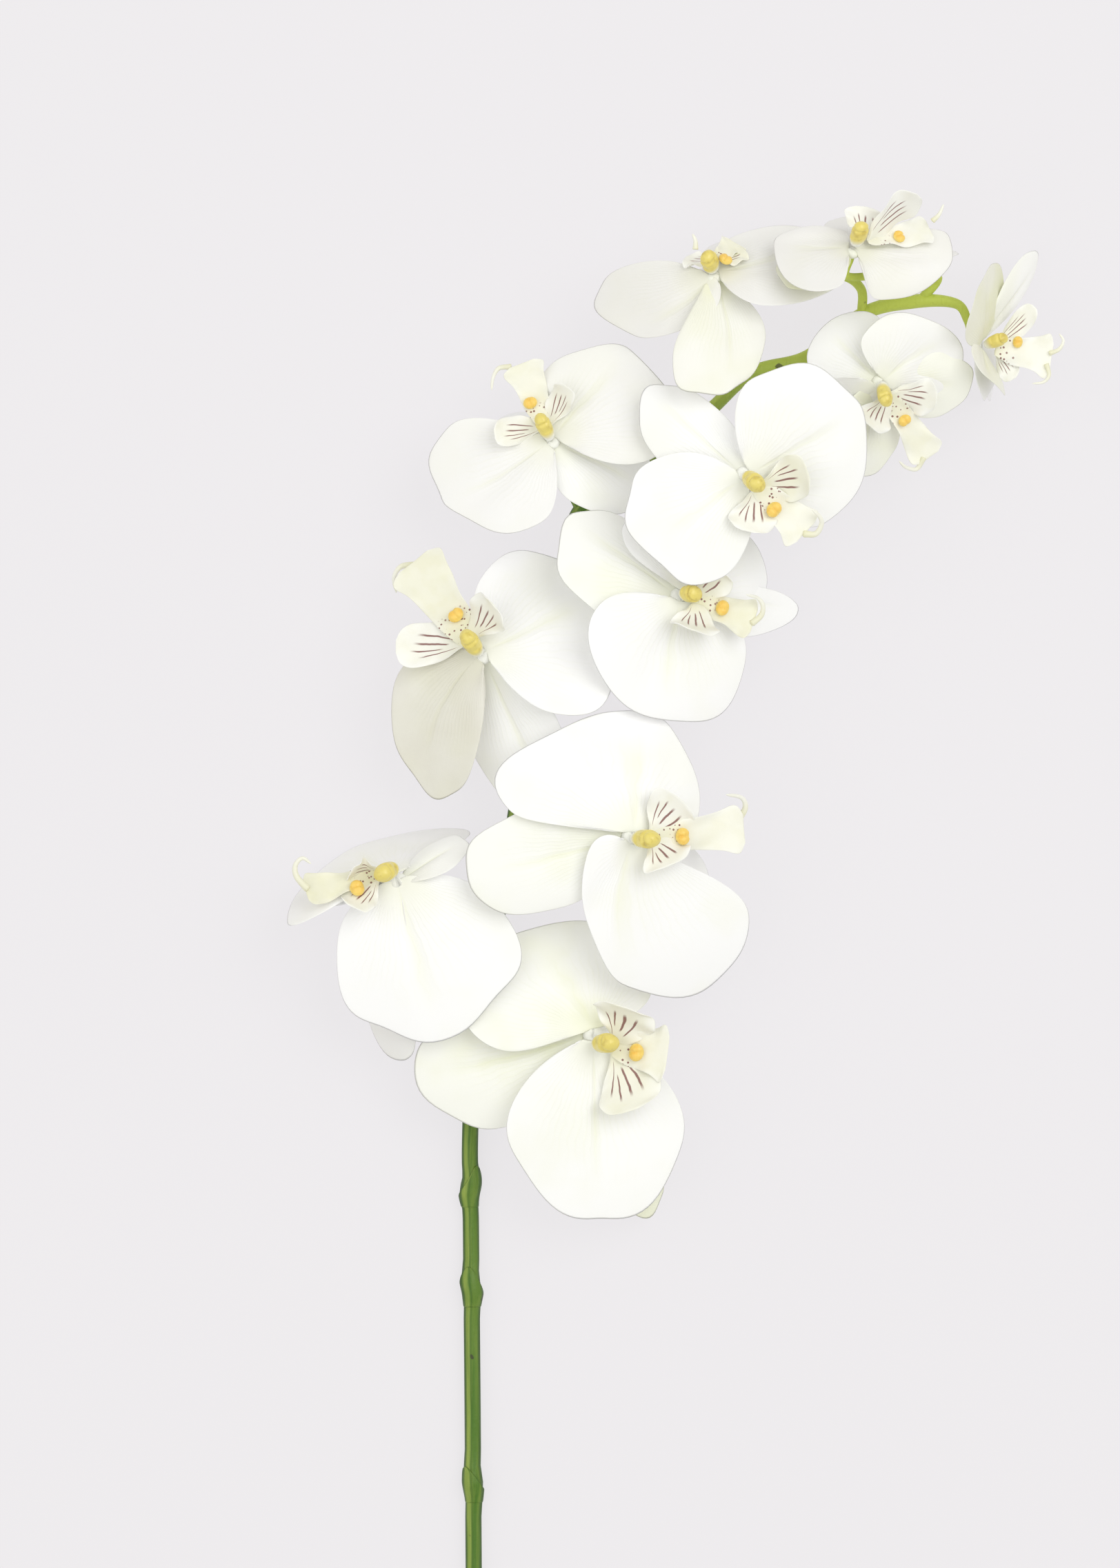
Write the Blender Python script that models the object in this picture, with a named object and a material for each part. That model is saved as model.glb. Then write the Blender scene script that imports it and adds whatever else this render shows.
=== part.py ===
"""A cut spray of eleven moth orchid blooms, lying on its back with its stem along +Y.

Lengths in the tables are millimetres, angles are degrees. +Z is up, towards the viewer.
Every bloom is a hub with three sepals and two petals, a lip, a callus on the lip and a column.
"""

import math

import bmesh
import bpy
import numpy as np

MM = 0.001
SHIFT = (-40.42, 75.84)  # moves the spray over the origin
BLADE = 0.8  # thickness of a tepal
LIP_BLADE = 0.9
CLEAR = 0.35  # gap between the nodes of a bloom

# Each bloom: centre, lean of its face from +Z, direction of the lean, direction and dip of the lip, and size.
# Each tepal: its tip from the centre, left and right half-widths, how far out it is widest (a power),
# fullness of the shoulders, sideways sweep, roll, bend along and bend across.
BLOOMS = {
    1: (((-2.9, 119.4, 42), 26, 117, 117, 0, 0.9), {
        "petal_l": (-33.0, -28.5, -4, 24.0, 27.0, 0.90, 1.30, 0.20, -8, -14, -8),
        "petal_r": (24.5, 34.5, -2, 18.5, 35.5, 1.15, 0.95, 0.10, 2, -14, -8),
        "dorsal": (35.0, -17.0, -10, 14.5, 18.0, 1.05, 0.90, -0.05, 2, -18, -10),
        "sepal_l": (-27.0, 2.5, -41.8, 12.0, 12.0, 0.85, 0.90, 0.00, 0, -18, -10),
        "sepal_r": (8.5, 28.0, -34, 12.0, 12.0, 0.85, 0.90, 0.00, 0, -18, -10),
    }),
    2: (((53.2, 175.8, 58), 50, 90, 75, 0, 0.9), {
        "petal_l": (-15.0, -28.5, -2, 10.0, 32.5, 0.90, 0.80, 0.50, -6, -14, -8),
        "petal_r": (44.0, 9.0, -10, 20.0, 24.0, 1.05, 0.75, -0.05, 3, -14, -8),
        "dorsal": (14.5, -38.5, 6, 14.0, 22.5, 0.70, 1.20, 0.30, 3, -18, -10),
        "sepal_l": (-15.5, 2.0, -38, 13.0, 13.0, 0.85, 0.90, 0.00, 0, -18, -10),
        "sepal_r": (18.0, 15.0, -38, 13.0, 13.0, 0.85, 0.90, 0.00, 0, -18, -10),
    }),
    3: (((100.6, 183.5, 66), 60, 80, 55, 0, 0.85), {
        "petal_l": (-27.5, 0.5, -2, 23.5, 13.0, 1.80, 0.70, 0.05, -11, -14, -8),
        "petal_r": (34.5, 5.5, -12, 7.0, 20.0, 2.10, 0.55, 0.00, 30, -14, -20),
        "dorsal": (-23.0, -13.0, 5, 8.0, 14.0, 0.90, 0.90, 0.10, -15, -18, -10),
        "sepal_l": (3.0, 15.0, -30, 11.5, 13.5, 0.90, 0.90, 0.05, -3, -18, -10),
        "sepal_r": (37.5, 2.0, -24, 9.0, 9.0, 0.90, 0.90, 0.00, 0, -18, -10),
    }),
    4: (((146.5, 153.5, 36), 72, -6, -45, 80, 0.75), {
        "petal_l": (1.0, 23.5, 16, 18.5, 22.0, 0.80, 0.95, 0.00, -4, -14, -8),
        "petal_r": (4.5, -15.0, 8, 20.0, 12.0, 1.00, 0.80, 0.10, 10, -14, -8),
        "dorsal": (6.0, -15.0, -14, 11.0, 11.0, 0.85, 0.90, 0.00, 0, -18, -10),
        "sepal_l": (22.0, 34.0, -20, 9.0, 6.5, 0.60, 1.00, 0.05, -4, -18, -10),
        "sepal_r": (7.5, -14.5, -35.9, 8.0, 8.0, 0.85, 0.90, 0.00, 0, -18, -10),
    }),
    5: (((110.9, 139.4, 50), 30, -45, -45, 0, 0.85), {
        "petal_l": (-22.0, -19.5, -14, 20.0, 20.0, 0.80, 0.80, 0.00, 0, -14, -8),
        "petal_r": (22.0, 22.0, -2, 19.5, 19.5, 1.45, 0.85, 0.20, -4, -14, -8),
        "dorsal": (-19.5, 20.5, -5, 16.0, 16.0, 0.95, 0.90, 0.00, 0, -18, -10),
        "sepal_l": (-8.5, -33.0, -14, 13.5, 13.0, 0.90, 0.90, 0.00, 0, -18, -10),
        "sepal_r": (33.5, 0.0, -14, 12.0, 13.5, 1.00, 0.90, -0.05, 1, -18, -10),
    }),
    6: (((63.8, 106.4, 63), 18, -40, -50, 0, 1.05), {
        "petal_l": (-35.5, -26.0, 1, 24.0, 24.0, 0.80, 0.80, 0.00, 12, -14, -8),
        "petal_r": (42.0, 23.0, -2, 30.0, 30.5, 1.30, 1.15, -0.05, 2, -14, -8),
        "dorsal": (-35.0, 30.0, -8, 16.5, 11.5, 1.15, 0.90, 0.05, -1, -18, -10),
        "sepal_l": (5.0, -16.5, -38, 8.0, 10.0, 0.85, 0.90, 0.00, 0, -18, -10),
        "sepal_r": (36.0, -4.5, -36, 14.0, 14.0, 0.85, 0.90, 0.00, 0, -18, -10),
    }),
    7: (((41.4, 65.1, 51), 30, 20, -5, 0, 1.0), {
        "petal_l": (-11.0, -43.5, -2, 31.0, 32.0, 1.40, 0.95, -0.10, 3, -14, -8),
        "petal_r": (17.5, 28.0, -8, 31.0, 29.0, 1.60, 0.70, 0.10, -2, -14, -24),
        "dorsal": (-40.0, 27.5, -6, 23.5, 14.0, 1.30, 0.90, 0.00, -2, -18, -10),
        "sepal_l": (14.0, -28.0, -34, 14.0, 14.0, 0.85, 0.90, 0.00, 0, -18, -10),
        "sepal_r": (43.0, -4.0, -24, 6.5, 12.5, 1.20, 1.05, -0.05, 4, -18, -10),
    }),
    8: (((-26.9, 45.0, 40), 35, 150, 118, 0, 1.05), {
        "petal_l": (-34.0, -34.0, -14, 22.0, 22.5, 0.80, 1.10, -0.40, -14, -14, -8),
        "petal_r": (42.5, 20.0, -4, 33.0, 39.5, 1.00, 1.00, 0.00, 3, -14, -8),
        "dorsal": (25.0, -54.5, -8, 16.0, 20.5, 0.95, 0.90, -0.05, 0, -18, -10),
        "sepal_l": (-22.0, -8.0, -34, 13.0, 13.0, 0.85, 0.90, 0.00, 0, -18, -10),
        "sepal_r": (8.0, 27.5, -34, 13.0, 13.0, 0.85, 0.90, 0.00, 0, -18, -10),
    }),
    9: (((24.7, -18.7, 50), 30, 0, 5, 0, 1.1), {
        "petal_l": (-19.5, -45.0, -4, 53.5, 14.5, 1.75, 0.75, -0.30, 12, -14, -8),
        "petal_r": (3.5, 43.5, -4, 50.5, 26.0, 1.95, 0.80, 0.00, -11, -14, -26),
        "dorsal": (-58.5, -14.0, -2, 19.0, 18.5, 0.85, 0.95, 0.00, 0, -18, -10),
        "sepal_l": (26.0, -28.5, -36, 15.0, 15.0, 0.85, 0.90, 0.00, 0, -18, -10),
        "sepal_r": (15.0, 25.0, -36, 15.0, 15.0, 0.85, 0.90, 0.00, 0, -18, -10),
    }),
    10: (((-57.1, -33.3, 36), 57, 110, 195, 0, 1.1), {
        "petal_l": (15.5, -55.5, -2, 36.0, 30.0, 0.95, 0.85, 0.00, 0, -14, -8),
        "petal_r": (-20.0, 8.0, -32.6, 40.5, 37.5, 2.00, 1.25, 0.05, 7, -14, -8),
        "dorsal": (25.0, 14.0, 0, 10.5, 10.5, 0.70, 1.00, 0.05, 0, -18, -10),
        "sepal_l": (2.5, -66.5, -18, 8.0, 19.0, 0.90, 0.90, 0.00, 0, -18, -10),
        "sepal_r": (-25.5, -4.0, -32, 13.0, 13.0, 0.85, 0.90, 0.00, 0, -18, -10),
    }),
    11: (((11.6, -87.8, 29), 10, 0, 0, 0, 1.15), {
        "petal_l": (-1.0, -67.5, -4, 33.5, 31.5, 1.00, 1.30, -0.05, -1, -14, -8),
        "petal_r": (-14.5, 41.0, -4, 40.0, 27.5, 1.40, 0.60, -0.15, 1, -14, -8),
        "dorsal": (-63.0, -18.0, -8, 24.5, 20.0, 0.85, 1.00, 0.05, -2, -18, -10),
        "sepal_l": (20.5, -66.5, -20, 11.0, 12.0, 0.90, 0.90, 0.00, 0, -18, -10),
        "sepal_r": (16.0, 6.5, -26, 14.0, 14.0, 0.85, 0.90, 0.00, 0, -18, -10),
    }),
}
PETALS = ("petal_l", "petal_r")
LOBE_GRID = (1, 4)
GRIDS = {"petal_l": (2, 10), "petal_r": (2, 10), "dorsal": (2, 8), "sepal_l": (1, 6), "sepal_r": (1, 6)}

# Parts of each lip, from the centre of its bloom: foot and top of the column, callus, tip of the middle lobe,
# tips of the side lobes, half-widths of the middle and side lobes, and the curled hooks at the tip.
LIPS = {
    1: {
        "column": ((-0.5, 1.1, 2.5), (-4.5, 8.5, 10.0)), "callus": (-7.5, 13.5), "tip": (-10.5, 27.5, -4.0),
        "left": (-20.0, 2.5, 3.5), "right": (5.0, 19.0, 6.5), "wide": 7.2, "lobe": 6.0,
        "hooks": (((-14.0, 26.5, -6.5), (-18.5, 26.0, -7.5), (-20.5, 22.5, -5.5), (-21.0, 18.0, -2.5)),),
    },
    2: {
        "column": ((0.0, 2.1, 1.8), (-3.0, 6.5, 11.5)), "callus": (4.0, 5.5), "tip": (7.5, 12.0, -6.0),
        "left": (-10.0, 6.5, -3.5), "right": (10.5, 9.5, -3.0), "wide": 5.0, "lobe": 6.0,
        "hooks": (((-6.5, 8.5, 7.0), (-6.5, 11.5, 7.0), (-7.5, 14.0, 7.0)),),
    },
    3: {
        "column": ((1.4, 2.4, 1.8), (3.0, 9.0, 10.0)), "callus": (16.5, 5.5), "tip": (27.5, 8.5, -9.0),
        "left": (3.5, 16.0, -3.0), "right": (23.0, 18.5, 6.0), "wide": 6.0, "lobe": 8.1,
        "hooks": (((28.0, 11.0, -6.0), (30.5, 13.5, -6.0), (32.0, 17.0, -6.0)),),
    },
    4: {
        "column": ((2.2, -0.2, 0.7), (9.0, 2.5, 6.5)), "callus": (13.5, 1.0), "tip": (25.5, -4.0, -2.0),
        "left": (19.5, 13.5, -2.0), "right": (12.0, -12.0, -3.0), "wide": 7.6, "lobe": 4.3,
        "hooks": (
            ((24.5, -3.0, -1.0), (28.0, -1.5, -1.0), (29.5, 1.5, -1.0), (28.0, 4.0, -1.0)),
            ((23.5, -6.5, -1.0), (24.5, -10.5, -1.0), (22.5, -13.0, -1.0), (18.5, -13.5, -1.0)),
        ),
    },
    5: {
        "column": ((0.9, -0.9, 2.2), (2.0, -8.0, 10.0)), "callus": (9.0, -13.0), "tip": (18.0, -25.5, -10.0),
        "left": (20.0, -5.5, 1.5), "right": (-3.5, -15.5, 5.0), "wide": 6.4, "lobe": 7.6,
        "hooks": (((16.0, -25.5, -9.0), (13.5, -29.5, -10.0), (9.5, -29.0, -7.0), (7.0, -27.0, -4.0)),),
    },
    6: {
        "column": ((0.8, -0.6, 3.0), (4.5, -4.0, 15.0)), "callus": (10.0, -11.8), "tip": (21.0, -19.5, -0.5),
        "left": (21.5, 1.0, 8.0), "right": (1.0, -19.5, 5.5), "wide": 7.9, "lobe": 9.1,
        "hooks": (
            (
                (20.0, -20.0, -0.5), (24.5, -20.0, -0.5), (26.5, -16.5, 1.0), (25.5, -14.0, 3.0),
                (23.0, -12.0, 5.0),
            ),
        ),
    },
    7: {
        "column": ((1.4, 0.5, 2.6), (6.0, 1.0, 9.5)), "callus": (15.0, -4.0), "tip": (26.0, -8.5, -2.0),
        "left": (11.5, 10.5, 4.5), "right": (4.5, -12.0, 13.5), "wide": 7.0, "lobe": 9.5,
        "hooks": (
            ((25.0, -9.5, -1.5), (28.5, -6.5, -1.5), (29.0, -3.0, 0.0), (27.0, -0.5, 1.5), (23.0, 0.5, 4.5)),
        ),
    },
    8: {
        "column": ((-1.6, 0.9, 2.6), (-6.0, 7.0, 13.5)), "callus": (-9.5, 14.0), "tip": (-24.5, 33.0, -12.0),
        "left": (-30.5, 3.0, -2.0), "right": (4.0, 17.0, 12.0), "wide": 10.5, "lobe": 9.4,
        "hooks": (
            ((-24.0, 32.0, -15.5), (-29.0, 31.5, -18.5), (-31.5, 27.5, -17.0), (-30.5, 22.0, -13.5)),
        ),
    },
    9: {
        "column": ((1.7, 0.0, 2.9), (8.0, -0.5, 15.0)), "callus": (18.0, 0.5), "tip": (39.5, 3.0, -9.0),
        "left": (16.5, 14.0, 3.0), "right": (13.5, -9.5, 7.5), "wide": 8.2, "lobe": 11.1,
        "hooks": (((37.5, 6.0, -11.5), (40.0, 10.5, -11.5), (38.5, 14.0, -9.5), (33.0, 15.0, -5.0)),),
    },
    10: {
        "column": ((-1.4, 3.6, 2.8), (-5.0, 2.0, 16.0)), "callus": (-13.5, -2.9), "tip": (-31.5, -4.0, 8.0),
        "left": (-15.0, -9.5, 13.0), "right": (-16.0, 2.0, 9.0), "wide": 6.6, "lobe": 7.4,
        "hooks": (
            ((-30.5, -3.5, 9.0), (-34.5, 1.0, 9.0), (-35.0, 5.0, 9.0), (-32.5, 7.5, 9.0), (-29.5, 5.5, 9.0)),
        ),
    },
    11: {
        "column": ((1.8, -3.4, 3.1), (6.5, -2.0, 16.5)), "callus": (15.0, -6.0), "tip": (26.0, -6.5, 8.5),
        "left": (9.5, 10.5, 13.5), "right": (12.5, -26.5, 10.5), "wide": 9.8, "lobe": 12.2,
        "hooks": (),
    },
}

COLUMN_SHARES = np.array([0.0, 0.3, 0.7, 0.92, 1.0])
COLUMN_RADII = np.array([2.2, 3.2, 3.5, 2.6, 1.2])
LIP_ROOT_SHARE = 0.17  # how far up the column the lip starts
CALLUS_GAP = 0.65  # between the callus and the lip
COLUMN_GAP = 1.1  # from the column's side to the middle of the lip sheet

# Stalk: x, y, height of its axis and radius, from the cut end to the back of bloom 4.
STALK = (
    (-30.1, -355.9, 2.8, 2.9),
    (-30.6, -278.1, 2.8, 2.9),
    (-31.1, -208.6, 2.8, 2.9),
    (-31.6, -157.3, 2.8, 2.9),
    (-31.8, -123.2, 5.0, 2.9),
    (-29.3, -83.2, 9.0, 2.9),
    (-18.5, -27.7, 14.0, 2.8),
    (-9.5, 27.7, 18.0, 2.7),
    (2.0, 68.9, 22.0, 2.6),
    (7.0, 96.4, 24.0, 2.5),
    (33.2, 112.8, 26.0, 2.4),
    (52.7, 131.1, 28.0, 2.4),
    (67.7, 144.3, 30.0, 2.3),
    (86.7, 149.7, 31.0, 2.4),
    (106.0, 164.6, 32.0, 2.4),
    (123.8, 168.9, 33.0, 2.5),
    (138.3, 168.2, 33.0, 1.8),
    (142.5, 162.3, 34.0, 1.5),
    (143.7, 156.5, 35.0, 1.4),
)

# Pedicels: points from the stalk towards the back of each bloom.
PEDICELS = {
    1: ((7.0, 96.4, 24.0), (2.4, 105.7, 28.0)),
    2: (
        (105.7, 164.6, 32.0), (105.0, 173.2, 37.0), (96.8, 177.4, 44.0), (81.1, 177.3, 46.0),
        (65.4, 173.0, 48.0),
    ),
    3: ((126.9, 170.1, 33.0), (131.9, 176.7, 38.0), (125.5, 178.7, 46.0), (111.9, 176.6, 54.0)),
    5: ((86.7, 149.7, 31.0), (97.2, 144.0, 34.0)),
    6: ((48.4, 127.0, 27.5), (54.9, 117.3, 38.0)),
    7: ((9.2, 97.9, 24.0), (14.5, 89.3, 27.0), (26.0, 75.3, 34.0)),
    8: ((-10.4, 22.4, 17.5), (-16.0, 33.2, 21.0)),
    9: ((-15.0, -6.8, 16.0), (-2.3, -15.3, 24.0)),
    10: ((-19.2, -32.4, 13.5), (-36.1, -37.2, 19.0)),
    11: ((-27.8, -73.9, 10.0), (-11.4, -84.8, 12.0)),
}
STEM_NODES = (-143.1, -178.5, -247.8)
LEVEL_Y = -150.0
STALK_SIDES = 8


# Outlines of the lobes of a lip: how far along its length, and its half-width there as a share of the widest.
MIDDLE_SHAPE = ((0.0, 0.35), (0.25, 0.6), (0.5, 0.7), (0.75, 0.85), (0.92, 1.05), (1.0, 0.6))
SIDE_SHAPE = ((0.0, 0.4), (0.25, 0.85), (0.5, 1.1), (0.75, 1.05), (0.93, 0.7), (1.0, 0.25))
SIDE_BACK = (0.1, 1.0)  # width of the half toward the column, at the root and at the tip
MIDDLE_SAG, SIDE_SAG = 0.05, 0.14  # how far the lobes hollow, as shares of their length
CHANNEL = 0.12  # how far the sides of the middle lobe turn up, as a share of its half-width
LIP_ROOT = 1.2  # from the middle of the lip to the root of a side lobe
HOOK_RADII = (1.5, 0.7)
CALLUS_HALVES = (2.4, 2.8, 1.8)  # along the lip, across it and up
HUB_HALVES = (4.0, 4.0, 2.8)
NODE_SWELL, NODE_REACH, NODE_HALF = 0.26, 5.0, 11.0  # how much and how far along the stalk thickens at a node
PEDICEL_RADII = (1.7, 1.45)
PEDICEL_REACH = 11.0  # a pedicel runs straight into the back of its bloom from this far


def unit(v):
    v = np.asarray(v, float)
    return v / np.linalg.norm(v)


def polar(degrees, dip=0.0):
    a, d = math.radians(degrees), math.radians(dip)
    return np.array([math.cos(a) * math.cos(d), math.sin(a) * math.cos(d), -math.sin(d)])


def axes_of(lean, toward, lip, dip):
    """Right, lip and facing directions of a bloom. Dorsal is opposite the lip."""
    s, c = math.sin(math.radians(lean)), math.cos(math.radians(lean))
    facing = polar(toward) * s + np.array([0.0, 0.0, c])
    way = polar(lip, dip)
    way = unit(way - facing * (way @ facing))
    return np.cross(-way, facing), way, facing


def arc(t, total):
    """Point at share t of an arc of unit length that turns by total degrees: along and up."""
    a = math.radians(total)
    if abs(a) < 1e-4:
        return t, 0 * t
    return np.sin(a * t) / a, (1 - np.cos(a * t)) / a


def blade(length, left, right, grid, power, shoulder, skew, curl, cup, root, sweep=160.0):
    """Grid of points of a petal along +y from its root, face up, over rows outward and columns round the rim.

    Left and right are half-widths, and root is the share of them (4 mm at most) that the root keeps.
    """
    rows, cols = grid
    v = np.linspace(-1, 1, cols + 1)
    phi = np.radians(sweep) * v
    width = left + right
    rim_x = np.where(phi < 0, left, right) * np.sign(np.sin(phi)) * np.abs(np.sin(phi)) ** shoulder
    rim_y = length * ((1 + np.cos(phi)) / 2) ** power
    root_x = np.minimum(root * np.where(v < 0, left, right), 4.0) * v
    u = np.linspace(0, 1, rows + 1)[:, None]
    x = root_x + (rim_x - root_x) * u
    y = rim_y * u
    x = x + skew * width * (y / length) ** 2
    ax, rise = arc(np.abs(x) / (width / 2), cup)
    ay, height = arc(y / length, curl)
    a = np.radians(curl) * y / length
    across, rise = np.sign(x) * ax * width / 2, rise * width / 2
    return np.stack([across, ay * length - np.sin(a) * rise, height * length + np.cos(a) * rise], -1)


def aim(points, base, tip, facing, roll, curl):
    """Lays a blade's root on base and its tip on tip, with its face as near to facing as that allows."""
    chord = unit(tip - base)
    a = -math.radians(curl) / 2
    y = points[..., 1] * math.cos(a) - points[..., 2] * math.sin(a)
    z = points[..., 1] * math.sin(a) + points[..., 2] * math.cos(a)
    up = unit(facing - chord * (facing @ chord))
    side = np.cross(chord, up)
    r = math.radians(roll)
    side, up = math.cos(r) * side - math.sin(r) * up, math.sin(r) * side + math.cos(r) * up
    return base + points[..., 0:1] * side + y[..., None] * chord + z[..., None] * up


def arc_length(chord, curl):
    h = math.radians(abs(curl)) / 2
    return chord * (h / math.sin(h) if h > 1e-4 else 1.0)


def tepal_sheet(pose, role, row, grid):
    centre, lean, toward, lip, dip, size = pose
    x, y, z, left, right, power, shoulder, skew, roll, curl, cup = row
    _, _, facing = axes_of(lean, toward, lip, dip)
    centre = np.array(centre, float)
    out = np.array([x, y, z], float)
    flat = unit(out - facing * (out @ facing))
    layer = 1.2 if role in PETALS else -1.2
    base = centre + (1.5 * flat + layer * facing) * size
    tip = centre + out
    length = arc_length(np.linalg.norm(tip - base), curl)
    root = 0.16 if role in PETALS else 0.22
    points = blade(length, left, right, grid, power, shoulder, skew, curl, cup, root)
    return aim(points, base, tip, facing, roll, curl)


def across(along, up):
    """Unit vector to the right of a direction, in the plane square to up."""
    return unit(np.cross(along, up))


def lip_frame(pose, lip):
    """Foot of the lip, and the length, side and up directions of its middle lobe."""
    size = pose[-1]
    facing = axes_of(*pose[1:5])[2]
    base, top = (np.array(p, float) for p in lip["column"])
    spine = unit(top - base)
    front = np.array(lip["tip"], float) - base
    front = unit(front - spine * (front @ spine))
    foot = base + LIP_ROOT_SHARE * (top - base) + front * (COLUMN_GAP + 2.8 * size)
    tip = np.array(lip["tip"], float) - foot
    up = unit(facing + np.array([0.0, 0.0, 1.0]))
    side = across(tip, up)
    return foot, tip, side, unit(np.cross(side, tip))


def lobe_sheet(root, tip, side, rise, half, shape, back, sag, channel, grid):
    """Rows of points across a lobe, from its root to its tip. Its back half is narrower, most at the root."""
    rows, cols = grid
    share, width = np.split(smooth(shape, rows), 2, axis=1)
    x = np.linspace(-1, 1, cols + 1)
    x = np.where(x < 0, x * (back[0] + (back[1] - back[0]) * share), x)
    hollow = np.linalg.norm(tip - root) * sag * 4 * share * (1 - share)
    lift = channel * half * (width * x) ** 2 - hollow
    spine = root + share * (tip - root)
    return spine[:, None] + (width * half * x)[..., None] * side + lift[..., None] * rise


def lip_sheets(pose, lip, grid):
    """Sheets of the flat middle lobe and of the two side lobes that stand up beside it."""
    centre, size = np.array(pose[0], float), pose[-1]
    foot, tip, side, up = lip_frame(pose, lip)
    root = centre + foot
    form = MIDDLE_SHAPE, (1.0, 1.0), MIDDLE_SAG, CHANNEL
    sheets = [lobe_sheet(root, root + tip, side, up, lip["wide"], *form, grid)]
    lobes = [np.array(lip[name], float) - foot for name in ("left", "right")]
    lobes.sort(key=lambda lobe: lobe @ side)
    for hand, lobe in zip((-1.0, 1.0), lobes):
        out = unit(lobe)
        ahead = unit(unit(tip) - out * (unit(tip) @ out))
        rise = np.cross(out, ahead) * (1 if np.cross(out, ahead) @ up > 0 else -1)
        start = root + side * hand * LIP_ROOT * size
        form = SIDE_SHAPE, SIDE_BACK, SIDE_SAG, 0.0
        sheets.append(lobe_sheet(start, root + lobe, ahead, rise, lip["lobe"], *form, grid))
    return sheets


def callus_seat(pose, lip):
    """Centre of the callus, which sits on the middle lobe below its place in plan."""
    size = pose[-1]
    foot, tip, side, up = lip_frame(pose, lip)
    plan = np.array(lip["callus"], float) - foot[:2]
    share = np.linalg.norm(plan) / np.linalg.norm(tip[:2])
    sag = MIDDLE_SAG * np.linalg.norm(tip) * 4 * share * (1 - share)
    lift = CALLUS_HALVES[2] * size + LIP_BLADE / 2 + CALLUS_GAP - sag
    a, b = np.linalg.solve(np.stack([tip[:2], side[:2]], 1), plan - lift * up[:2])
    return np.array(pose[0], float) + foot + a * tip + b * side + lift * up


def smooth(points, steps):
    """Catmull-Rom curve through the points, steps to a span."""
    p = np.array(points, float)
    p = np.vstack([2 * p[0] - p[1], p, 2 * p[-1] - p[-2]])
    out = []
    for a, b, c, d in zip(p, p[1:], p[2:], p[3:]):
        for t in np.arange(steps) / steps:
            bend = (2 * a - 5 * b + 4 * c - d) * t * t + (3 * b - a - 3 * c + d) * t**3
            out.append(0.5 * (2 * b + (c - a) * t + bend))
    out.append(p[-2])
    return np.array(out)


def from_rows(name, points, faces, collection):
    """A mesh object from points in millimetres."""
    mesh = bpy.data.meshes.new(name)
    places = (np.asarray(points) + [*SHIFT, 0.0]) * MM
    mesh.from_pydata(places.tolist(), [], [list(map(int, face)) for face in faces])
    work = bmesh.new()
    work.from_mesh(mesh)
    bmesh.ops.recalc_face_normals(work, faces=work.faces)
    bmesh.ops.triangulate(work, faces=work.faces)
    work.to_mesh(mesh)
    work.free()
    obj = bpy.data.objects.new(name, mesh)
    collection.objects.link(obj)
    return obj


def slab(points, thickness):
    """Points and faces of a closed solid round a sheet of points, split alike on both faces."""
    rows, cols = points.shape[0] - 1, points.shape[1] - 1
    flat = points.reshape(-1, 3)
    wide = cols + 1
    tris = []
    for i in range(rows):
        for j in range(cols):
            a, b, c, d = i * wide + j, i * wide + j + 1, (i + 1) * wide + j + 1, (i + 1) * wide + j
            tris += [(a, b, c), (a, c, d)] if j >= cols / 2 else [(a, b, d), (b, c, d)]
    tris = np.array(tris)
    face = np.cross(flat[tris[:, 1]] - flat[tris[:, 0]], flat[tris[:, 2]] - flat[tris[:, 0]])
    normal = np.zeros_like(flat)
    for k in range(3):
        np.add.at(normal, tris[:, k], face)
    normal /= np.linalg.norm(normal, axis=1)[:, None]
    n = len(flat)
    both = np.vstack([flat + normal * thickness / 2, flat - normal * thickness / 2])
    edge = [j for j in range(wide)] + [i * wide + cols for i in range(1, rows + 1)]
    edge += [rows * wide + j for j in range(cols - 1, -1, -1)] + [i * wide for i in range(rows - 1, 0, -1)]
    faces = [tuple(t) for t in tris] + [tuple(t + n)[::-1] for t in tris]
    for a, b in zip(edge, edge[1:] + edge[:1]):
        faces += [(b, a, a + n), (b, a + n, b + n)]
    return both, faces


def tube(path, radii, sides):
    """Closed tube along a path. One of its facets faces straight down where the path runs level."""
    path = np.asarray(path, float)
    tangent = np.gradient(path, axis=0)
    tangent /= np.linalg.norm(tangent, axis=1)[:, None]
    side = None
    points, faces = [], []
    for centre, t, r in zip(path, tangent, radii):
        want = np.cross(t, (0, 0, 1.0)) if side is None else side - t * (side @ t)
        if np.linalg.norm(want) < 1e-3:
            want = np.cross(t, (1.0, 0, 0))
        side = unit(want)
        up = np.cross(side, t)
        for k in range(sides):
            a = -math.pi / 2 + math.pi * (2 * k + 1) / sides
            points.append(centre + r * (math.cos(a) * side + math.sin(a) * up))
    for i in range(len(path) - 1):
        for k in range(sides):
            a, b = i * sides + k, i * sides + (k + 1) % sides
            faces += [(a, b, b + sides), (a, b + sides, a + sides)]
    last = (len(path) - 1) * sides
    faces += [tuple(range(sides))[::-1], tuple(range(last, last + sides))]
    return points, faces


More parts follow.
